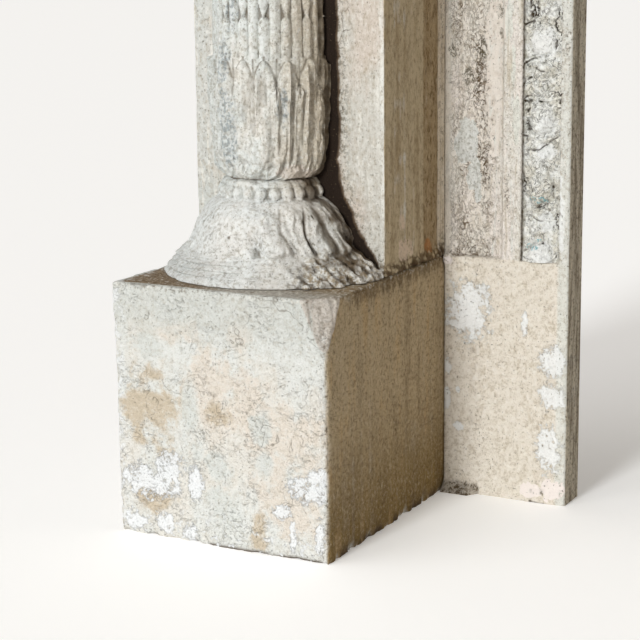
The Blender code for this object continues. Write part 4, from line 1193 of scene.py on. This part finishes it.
def surround_lintel(front_step, columns, seed):
    """The same section carried across the opening, mitred at both ends."""
    across, cut, _, front = surround_section(front_step, front_step * 2.2)
    run = np.linspace(-1, 1, columns)[:, None]
    a = np.broadcast_to(across, (columns, len(across)))
    x = run * (-OPENING_X) + np.sign(run) * a * np.abs(run) ** 12
    back, dirt = surround_relief(a, x, np.broadcast_to(front, a.shape), seed)
    depth = cut + back * ease(cut, SURROUND_DEPTH, 0.02)
    rings = np.stack((x, SURROUND_Y + depth, OPENING_TOP + a), axis=-1)
    return rings, dirt * 0.7


FOOT_PATCHES = (
    (25, 175, 22, 32), (107, 134, 14, 16), (108, 103, 13, 14), (105, 53, 13, 24), (80, 167, 4, 12),
    (4, 121, 4, 8), (3, 90, 4, 12), (15, 64, 5, 5), (14, 99, 2, 3),
)
PINK_CHIPS = ((87, 12, 10, 8), (108, 14, 12, 10), (5, 221, 6, 5))
COVE_CREAM = ((44, 430, 8, 30), (46, 375, 10, 62), (52, 470, 9, 60))
COVE_GREY = ((20, 330, 9, 22), (26, 300, 7, 16), (30, 285, 4, 10))
COVE_DARK = (
    (51, 447, 5, 7), (53, 428, 3, 5), (33, 412, 5, 9), (20, 388, 5, 9), (45, 334, 2, 3), (77, 405, 2, 3),
    (8, 412, 5, 7),
)
GREEN_WHITE = ((62, 440, 4, 18), (70, 352, 4, 24), (66, 400, 3, 20))


def surround_paint():
    """Tan-cream paint, wormed with brown in the flute, with white patches on the foot where it has come
    away."""
    paint = Paint("surround_paint")
    across = paint.near - JAMB_LOW[0]
    ragged = (paint.noise(0.011, 6.0, shift=(1, 2, 3), roughness=0.65) - 0.5) * 4.2
    patches = paint.noise(0.030, 6.0, tall=2.6, roughness=0.6).step(0.42, 0.62)
    blotch = paint.noise(0.006, 5.0, tall=1.8, shift=(4, 4, 4), roughness=0.66)
    foot = paint.z.step(STOP + 0.0008, STOP - 0.0008) * (1.0 - paint.near.step(-0.45, -0.44))
    paint.colour = paint.mix((240, 235, 225), (246, 237, 228), patches)
    paint.coat((235, 225, 209), foot * 0.9)
    paint.coat((196, 182, 158), blotch.step(0.53, 0.67) * 0.45)
    edge = paint.near.step(OPENING_X - 0.0115, OPENING_X - 0.008)
    paint.coat((224, 225, 217), edge * 0.75)
    fine = paint.gritty((170, 152, 124), (250, 244, 234), share=0.50)
    cream = paint.spots(across, COVE_CREAM, ragged * 0.7)
    paint.coat((241, 231, 219), cream * 0.80)
    grey = paint.spots(across, COVE_GREY, ragged * 0.7)
    run = (1.0 - foot) * (1.0 - edge * 0.6)
    dirty = paint.dirt_and_shade.step(0.10, 0.80)
    wormy = paint.worms(0.0080, 0.028, tall=1.7, shift=(2, 3, 1))
    wormy = wormy.most(paint.worms(0.0048, 0.030, tall=1.5, shift=(7, 3, 1)) * 0.9)
    thick = paint.noise(0.022, 5.0, tall=2.2, shift=(9, 3, 3), roughness=0.6).step(0.40, 0.62)
    grains = paint.noise(0.0034, 5.0, shift=(3, 1, 3), roughness=0.7).step(0.51, 0.60)
    paint.coat((210, 194, 176), dirty * 0.24)
    # A paler strip along the outer edge by the pilaster: painted light, lifting the shade that falls there.
    lip = across.step(0.0075, 0.0050) * run
    paint.coat((240, 230, 214), lip * 0.8)
    pale = paint.spots(across, GREEN_WHITE, ragged * 0.8, 0.5)
    paint.coat((234, 234, 223), pale * 0.75)
    white = paint.spots(across, ((111, 262, 6, 34), (110, 300, 4, 8)), ragged * 0.8, 0.5)
    paint.coat((248, 248, 244), white * 0.9)
    raised = paint.worms(0.0060, 0.030, tall=1.6, shift=(5, 8, 2)) * dirty
    paint.coat((240, 230, 213), raised * (1.0 - cream) * 0.55)
    runs = paint.noise(0.0070, 6.0, tall=9, shift=(6, 6, 2), roughness=0.62)
    paint.coat((232, 232, 224), runs.step(0.54, 0.66) * run * (1.0 - dirty) * 0.7)
    paint.coat((196, 180, 152), runs.step(0.46, 0.36) * run * (1.0 - dirty) * 0.5)
    brown = wormy * (dirty * (thick * 0.62 + 0.14) + run * 0.14 + 0.07)
    brown = brown + grains * dirty * (thick * 0.45 + 0.04)
    brown = brown * (1.0 - cream * 0.85) * (1.0 - grey * 0.7)
    brown = brown * (1.0 - foot * paint.z.step(0.010, 0.022) * 0.75)
    paint.coat((114, 95, 70), brown * (1.0 - lip * 0.8))
    dark = paint.spots(across, COVE_DARK, ragged, 0.5) * (wormy.most(grains) * 0.75 + 0.15)
    paint.coat((84, 76, 52), dark * 0.9)
    speckled_grey = paint.mix((222, 222, 216), (186, 184, 174), fine.step(0.52, 0.42))
    paint.coat(speckled_grey, grey * 0.85)
    crumbs = (paint.noise(0.0042, 6.0, shift=(6, 2, 4), roughness=0.75) - 0.5) * 3.6
    bare = paint.spots(across, FOOT_PATCHES, ragged + crumbs, 0.45)
    paint.coat((247, 247, 244), bare * (fine * 0.5 + 0.62))
    paint.coat((247, 236, 228), paint.spots(across, PINK_CHIPS, ragged))
    clots = foot * dirty * paint.z.step(0.016, 0.009) * paint.left
    paint.coat((84, 72, 52), clots * (grains * 0.6 + 0.3))
    # The returns into the opening are painted brown and streaked: partly dirt and partly painted shade.
    inward = paint.y.step(SURROUND_Y + 0.0020, SURROUND_Y + 0.0035)
    inward = inward * paint.near.step(OPENING_X - 0.0016, OPENING_X - 0.0008)
    inward = inward * paint.z.step(OPENING_TOP + 0.0015, OPENING_TOP + 0.0006)
    streaks = paint.noise(0.008, 6.0, tall=8, shift=(2, 2, 2), roughness=0.66).step(0.42, 0.62)
    paint.coat((204, 190, 164), inward * 0.75)
    paint.coat((96, 76, 50), inward * streaks * 0.70)
    paint.coat((70, 52, 32), inward * grains * 0.55)
    quirk = paint.dirt_and_shade.step(0.86, 0.90)
    paint.coat((104, 86, 62), quirk * (grains * 0.55 + 0.05))
    pin = paint.pins((7, 9, 4))
    paint.coat((110, 92, 66), pin * 0.65)
    height = fine * 0.8 + blotch * 0.45 - pin * 0.3 - bare * 0.18 + cream * 0.18 - brown * 0.4
    return paint.finish(height, 0.0036)


surround_material = surround_paint()
left, right = (-1, 0.0013, (140, 60), 61), (1, 0.0026, (56, 44), 67)
pieces = "LEG_surround_jamb_run"
cast_both(surround_jamb, pieces, "LEG_surround_jamb", surround_material, left, right)
rings, dirt_and_shade = surround_lintel(0.0026, 170, 71)
cast("surround_lintel_run", rings, dirt_and_shade, surround_material, "surround_lintel")

# The bands: strips of egg and leaf ornament cast in plaster and bedded in the surround's channel.
# Paint and dirt have clogged them, the eggs have flattened and cracked, and their hollows are black.

BAND_LOW, BAND_HIGH = box("left_jamb_band")
BAND_MIDDLE = OPENING_X - (BAND_LOW[0] + BAND_HIGH[0]) / 2
BAND_HALF = (CHANNEL[1] - CHANNEL[0]) / 2 - 0.0001
BAND_BACK = SURROUND_Y + CHANNEL_DEPTH - 0.0003
EGG_PITCH = 0.065
FIRST_EGG = BLOCK_TOP + 0.0025
BAND_FLOOR = 0.0056
EGG_DEPTH = 0.0084
SHELL_DEPTH = 0.0040
LEAF_DEPTH = 0.0050
BAR_DEPTH = 0.0062
BAND_CRACKS = (
    ((82.6, 371.3), (87.7, 370.8), (93.2, 368.5)), ((94.2, 365.5), (98.9, 364.3), (103.2, 366.1)),
    ((84.5, 342.3), (91.9, 341.9), (98.4, 345.0), (105.7, 346.7)),
    ((75.2, 341.9), (78.5, 340.0), (83.0, 338.5)), ((94.7, 332.3), (100.8, 333.7), (106.9, 337.0)),
    ((105.3, 331.4), (107.1, 324.6), (106.2, 317.6)), ((102.4, 310.4), (106.4, 306.4), (107.6, 299.5)),
    ((83.2, 322.0), (85.6, 316.5)), ((83.8, 280.5), (89.0, 283.0), (94.6, 279.4), (100.2, 282.9)),
    ((77.4, 234.1), (83.6, 238.6), (90.0, 243.6)),
    ((103.8, 240.1), (107.6, 233.9), (106.2, 228.1), (101.1, 225.3)),
    ((76.6, 437.0), (86.3, 441.0), (93.0, 439.5)), ((96.0, 438.0), (101.0, 434.5), (104.2, 428.0)),
    ((80.0, 405.5), (90.6, 408.0), (101.3, 412.0)), ((76.5, 436.0), (79.5, 437.8)),
    ((76.0, 403.0), (81.5, 405.0)), ((76.5, 398.0), (78.5, 390.0), (77.0, 382.0)),
)


def egg_row(across, along, seed, damage):
    """Height of the ornament over the strip's back, by place across and along it. Each egg is half a
    ball in a raised shell; midway hangs a pointed leaf under a slanting bar. Warped noise crumples it,
    and the lines where that noise is zero are creases."""
    place = flat_place(across, along)
    number = np.round(along / EGG_PITCH)
    whole, broken = number == 3, (number == 2) | (number == 1)
    wild = damage * np.where(whole, 0.7, np.where(broken, 2.0, 1.3))
    a = across + 0.0022 * wild * rough(place, 0.016, seed, 3)
    b = along + 0.0022 * wild * rough(place, 0.016, seed + 1, 3)
    off = (b / EGG_PITCH - number) * EGG_PITCH
    vary = np.sin(number * 7.3 + seed)
    egg_a, egg_b = a / 0.0128, off / (0.0150 + 0.0008 * vary)
    reach = np.sqrt(egg_a**2 + egg_b**2)
    egg = (EGG_DEPTH + 0.0006 * vary) * np.sqrt(np.clip(1 - reach**2, 0, 1)) ** 1.3
    patchy = ease(rough(place, 0.013, seed + 5, 3), -0.35, 0.55)
    shell = SHELL_DEPTH * hump(reach - 1.24, 0.13) * (0.35 + 0.65 * patchy)
    gap = hump(reach - 1.05, 0.095) * (0.12 + 0.88 * ease(rough(place, 0.011, seed + 6, 3), -0.2, 0.6))
    leaf_off = off - np.sign(off) * EGG_PITCH / 2
    t = np.clip((leaf_off + 0.013) / 0.024, 0, 1)
    leaf_wide = 0.0105 * np.sin(t * math.pi) ** 0.7
    leaf = LEAF_DEPTH * np.sqrt(np.clip(1 - (a / np.maximum(leaf_wide, 0.0005)) ** 2, 0, 1))
    leaf = leaf * (leaf_wide > 0.001)
    leaf = leaf + 0.0008 * np.cos(a * 1100) * (leaf > 0.001)
    slant = leaf_off - 0.35 * a * np.where(np.abs(vary) > 0.5, 1, -1) - 0.0100
    on_strip = ease(np.abs(a), BAND_HALF, 0.011)
    under_bar = hump(slant + 0.0036, 0.0009) * on_strip
    bar = BAR_DEPTH * np.exp(-((slant / 0.0026) ** 4)) * on_strip
    crumple = rough(place, 0.0095, seed + 2, 4)
    second = rough(place, 0.0060, seed + 7, 3)
    crease = hump(crumple, 0.065) + 0.7 * hump(second, 0.05)
    crease = np.clip(crease, 0, 1) * ease(rough(place, 0.018, seed + 3, 2), -0.7, 0.3)
    soften = damage * ease(rough(place, 0.035, seed + 4, 2), -0.7, 0.4)
    loose = np.clip((reach > 0.96) + np.where(whole, 0.12, np.where(broken, 0.9, 0.5)), 0, 1)
    shape = np.maximum.reduce((egg, shell, leaf, bar))
    crease = crease * (0.3 + soften) * loose
    shape = shape * (1 - 0.35 * soften * (reach > 1)) - 0.0024 * crease - 0.0012 * gap
    shape = shape + (0.0034 * crumple + 0.0014 * second) * (0.4 + soften) * loose
    dirt = gap * 0.95 + under_bar * 0.8 * patchy + 0.85 * crease + ease(shape, 0.0014, -0.0008) * 0.35
    dirt = np.clip(dirt, 0, 1)
    edge = ease(BAND_HALF - np.abs(across), 0.0, 0.0030)
    return BAND_FLOOR + np.clip(shape * 0.78, -0.0012, 0.0066) * edge + 0.0012 * (1 - edge), dirt


def band_rings(along_rows, columns, start, seed, damage):
    """Closed rings over the strip: its carved face, then its two edges and flat back, for each place
    along it."""
    a = np.linspace(-BAND_HALF, BAND_HALF, columns)
    across = np.concatenate((a, np.linspace(BAND_HALF, -BAND_HALF, columns // 3)))
    front = np.arange(len(across)) < columns
    grid_a, grid_b = np.meshgrid(across, along_rows)
    rise, dirt = egg_row(grid_a, grid_b - start, seed, damage)
    return grid_a, grid_b, np.where(front, rise, 0.0), np.where(front, dirt, 0.0)


def jamb_band(side, rows, columns, seed, damage):
    """The egg row carried up the jamb and mitred into the lintel's."""
    low_rows, high_rows = rows
    top = OPENING_TOP + BAND_MIDDLE
    up = np.linspace(BAND_LOW[2] + 0.0002, SEEN_UP_TO, low_rows)
    up = np.append(up, np.linspace(SEEN_UP_TO + 0.002, top, high_rows))
    a, z, rise, dirt = band_rings(up, columns, FIRST_EGG, seed, damage)
    if side < 0:
        place = flat_place(a, z)
        shaky = 1.9 * rough(place, 0.0075, seed + 8, 4)
        broken = ease(rough(place, 0.0055, seed + 9, 3), -0.5, 0.35)
        from_left = (SURROUND_WIDTH - BAND_MIDDLE - a) * 1000 + shaky
        on_ornament = rise > 0.001
        cracks = scored(from_left, z * 1000 + shaky, BAND_CRACKS, 0.55 + 0.5 * broken) * on_ornament
        lips = scored(from_left, z * 1000 + shaky - 2.0, BAND_CRACKS, 1.3) * on_ornament
        rise = rise - 0.0013 * cracks + 0.0010 * lips
        dirt = np.maximum(dirt * (1 - 0.6 * lips), cracks * (0.25 + 0.65 * broken))
        clots = fade(np.maximum(BAND_HALF - a, 0), 0.0032)
        clots = clots * ease(rough(place, 0.0150, seed + 10, 3), 0.0, 0.5)
        dirt = np.maximum(dirt, clots * (rise > 0.001))
    z = z + a * ((z - BAND_LOW[2]) / (top - BAND_LOW[2])) ** 40
    rings = np.stack((OPENING_X - BAND_MIDDLE - a, BAND_BACK - rise, z), axis=-1)
    return rings, dirt


def band_paint():
    """White and cream paint over brown-black dirt in the hollows, greenish in places, with turquoise in
    cracks."""
    paint = Paint("band_paint")
    across = paint.near - JAMB_LOW[0]
    patches = paint.noise(0.012, 5.0, roughness=0.65).step(0.42, 0.60)
    blotch = paint.noise(0.005, 5.0, shift=(4, 1, 4), roughness=0.68)
    paint.colour = paint.mix((250, 249, 243), (236, 231, 218), patches)
    paint.coat((186, 184, 162), blotch.step(0.53, 0.64) * 0.36)
    fine = paint.gritty((176, 170, 148), (255, 255, 252), share=0.36)
    calm = ((95, 421, 13, 15), (97, 348, 9, 12), (98, 325, 9, 8), (94, 232, 12, 14), (99, 262, 8, 10))
    calm = paint.spots(across, calm, (paint.noise(0.006, 5.0, roughness=0.7) - 0.5) * 5.0, 0.5)
    paint.coat((250, 250, 247), calm * 0.80)
    wormy = paint.worms(0.0080, 0.020, shift=(5, 3, 1))
    wormy = wormy.most(paint.worms(0.0044, 0.016, shift=(7, 3, 1)) * 0.6)
    dirt = paint.dirt_and_shade.step(0.25, 0.85) * (0.40 + paint.noise(0.005, 4.0, shift=(3, 3, 3)) * 1.1)
    dark = (dirt * 0.95).most(wormy * 0.60 * (1.0 - calm * 0.75))
    paint.coat((62, 50, 32), dark)
    ragged = (paint.noise(0.004, 5.0, roughness=0.7) - 0.5) * 5.0
    tinge = paint.spots(across, ((92, 282, 10, 3), (86, 239, 6, 3), (92, 245, 3, 2)), ragged)
    tinge = tinge * paint.noise(0.0026, 4.0, shift=(2, 2, 8), roughness=0.7).step(0.49, 0.56)
    paint.coat((132, 196, 204), tinge * 0.75)
    pin = paint.noise(0.0018, 2.0, shift=(7, 9, 4)).step(0.63, 0.69)
    paint.coat((98, 86, 64), pin * 0.40)
    height = fine * 0.70 + blotch * 0.60 - pin * 0.3 - dark * 0.45
    return paint.finish(height, 0.0038)


band_material = band_paint()
left, right = (-1, (300, 160), 52, 83, 1.0), (1, (110, 220), 32, 87, 0.7)
cast_both(jamb_band, "LEG_jamb_band_cast", "LEG_jamb_band", band_material, left, right)
run = np.linspace(-1, 1, 460)
a, x, rise, dirt = band_rings(run * (-OPENING_X), 30, 0.0, 89, 0.7)
x = x + np.sign(x) * (BAND_MIDDLE + a) * np.abs(run[:, None]) ** 40
rings = np.stack((x, BAND_BACK - rise, OPENING_TOP + BAND_MIDDLE + a), axis=-1)
cast("lintel_band_cast", rings, dirt, band_material, "lintel_band")

# The frieze, cornice and shelf: plain plaster run in level mouldings that break forward over the columns.
# They rest on the capitals and the surround, each on the one below, and are out of the photo.

FRIEZE_LOW, FRIEZE_HIGH = box("frieze")
CORNICE_LOW, CORNICE_HIGH = box("cornice")
SHELF_LOW, SHELF_HIGH = box("shelf")
FRIEZE_FILLET = (0.022, 0.006)
CORNICE_REACH = 0.034
CORNICE_FILLET = 0.007
SHELF_REACH = 0.052
SHELF_NOSE = 0.012
BREAK_FACE = SHELF_LOW[1] + SHELF_REACH
OUTER_X = SHELF_HIGH[0] - SHELF_REACH
BREAK_INNER_X = OUTER_X - (RETURN_X - PILASTER_LOW[0])


def break_plan(out):
    """The outline in plan, grown out by this much: two projecting ends, and the long face between
    them."""
    outer, inner = OUTER_X + out, BREAK_INNER_X - out
    front, middle = BREAK_FACE - out, FACE_Y - out
    corners = [(-outer, CAD_HIGH[1]), (-outer, front), (-inner, front), (-inner, middle)]
    corners += [(-x, y) for x, y in corners[::-1]]
    return worn_outline(corners, (44, 40, 16, 200, 16, 40, 44, 60), 0.0014)


def moulding_paint():
    """Cream paint, dusty on top, with soft grey and tan patches."""
    paint = Paint("moulding_paint")
    patches = paint.noise(0.05, 6.0, wide=1.8, roughness=0.6).step(0.42, 0.62)
    blotch = paint.noise(0.010, 5.0, roughness=0.66)
    paint.colour = paint.mix((208, 208, 201), (212, 205, 192), patches)
    paint.coat((200, 191, 172), blotch.step(0.53, 0.68) * 0.45)
    lying = paint.z.step(SHELF_HIGH[2] - 0.003, SHELF_HIGH[2] - 0.001)
    paint.coat((188, 177, 156), lying * 0.7)
    fine = paint.gritty((178, 164, 138), (244, 242, 236), share=0.38)
    paint.coat((120, 104, 80), paint.dirt_and_shade * 0.7)
    paint.coat((244, 243, 240), paint.noise(0.02, 6.0, shift=(5, 2, 8)).step(0.66, 0.69))
    hair = paint.worms(0.05, 0.005, shift=(1, 5, 2)) * paint.noise(0.04, 3.0).step(0.54, 0.60)
    pin = paint.pins((7, 9, 4), 0.65)
    paint.coat((116, 102, 80), (hair * 0.5).most(pin * 0.6))
    return paint.finish(fine * 0.8 + blotch * 0.4 - pin * 0.3 - hair * 0.2, 0.0028)


def sweep_profile(corners, step):
    """The profile cut into steps, and how near each level is to a corner, where the plaster gets
    knocked."""
    levels = finer(corners, step)
    edge = np.zeros(len(levels))
    heights = np.array([z for _, z in levels])
    for _, z in corners:
        edge = np.maximum(edge, fade(np.abs(heights - z), 0.004))
    return levels, edge


foot = FRIEZE_LOW[2]
fillet_height, fillet_out = FRIEZE_FILLET
frieze_profile = [(fillet_out - 0.001, foot), (fillet_out, foot + 0.001), (fillet_out, foot + fillet_height),
                  (0.0, foot + fillet_height + fillet_out), (0.0, FRIEZE_HIGH[2])]
foot, top = CORNICE_LOW[2], CORNICE_HIGH[2]
hollow_turn = np.radians(np.linspace(0, 90, 14))
hollow_out = CORNICE_FILLET + (CORNICE_REACH - 1.5 * CORNICE_FILLET) * (1 - np.cos(hollow_turn))
hollow_up = foot + CORNICE_FILLET + 0.0008 + (top - foot - 2 * CORNICE_FILLET - 0.0008) * np.sin(hollow_turn)
cornice_profile = [(CORNICE_FILLET / 2, foot), (CORNICE_FILLET / 2, foot + CORNICE_FILLET)]
cornice_profile += list(zip(hollow_out, hollow_up))
cornice_profile += [(CORNICE_REACH, top - CORNICE_FILLET), (CORNICE_REACH, top)]
foot, top = SHELF_LOW[2], SHELF_HIGH[2]
nose_turn = np.radians(np.linspace(-90, 90, 16))
nose_out = SHELF_REACH - SHELF_NOSE * (1 - np.cos(nose_turn))
nose_up = (foot + top) / 2 + ((top - foot) / 2 - 0.001) * np.sin(nose_turn)
shelf_profile = [(SHELF_REACH - SHELF_NOSE - 0.002, foot)] + list(zip(nose_out, nose_up))
shelf_profile += [(SHELF_REACH - SHELF_NOSE - 0.002, top)]

moulding_material = moulding_paint()
for name, profile, step, seed, slot in (
    ("frieze", frieze_profile, 0.0054, 91, "block_plaster"),
    ("cornice", cornice_profile, 0.0027, 94, "block_plaster"),
    ("shelf", shelf_profile, 0.0026, 97, "shelf_plaster"),
):
    levels, edge = sweep_profile(profile, step)
    rings, dirt_and_shade = worn_slab(break_plan, levels, edge, seed, 0.0006)
    cast(name + "_run", rings, dirt_and_shade, moulding_material, name)
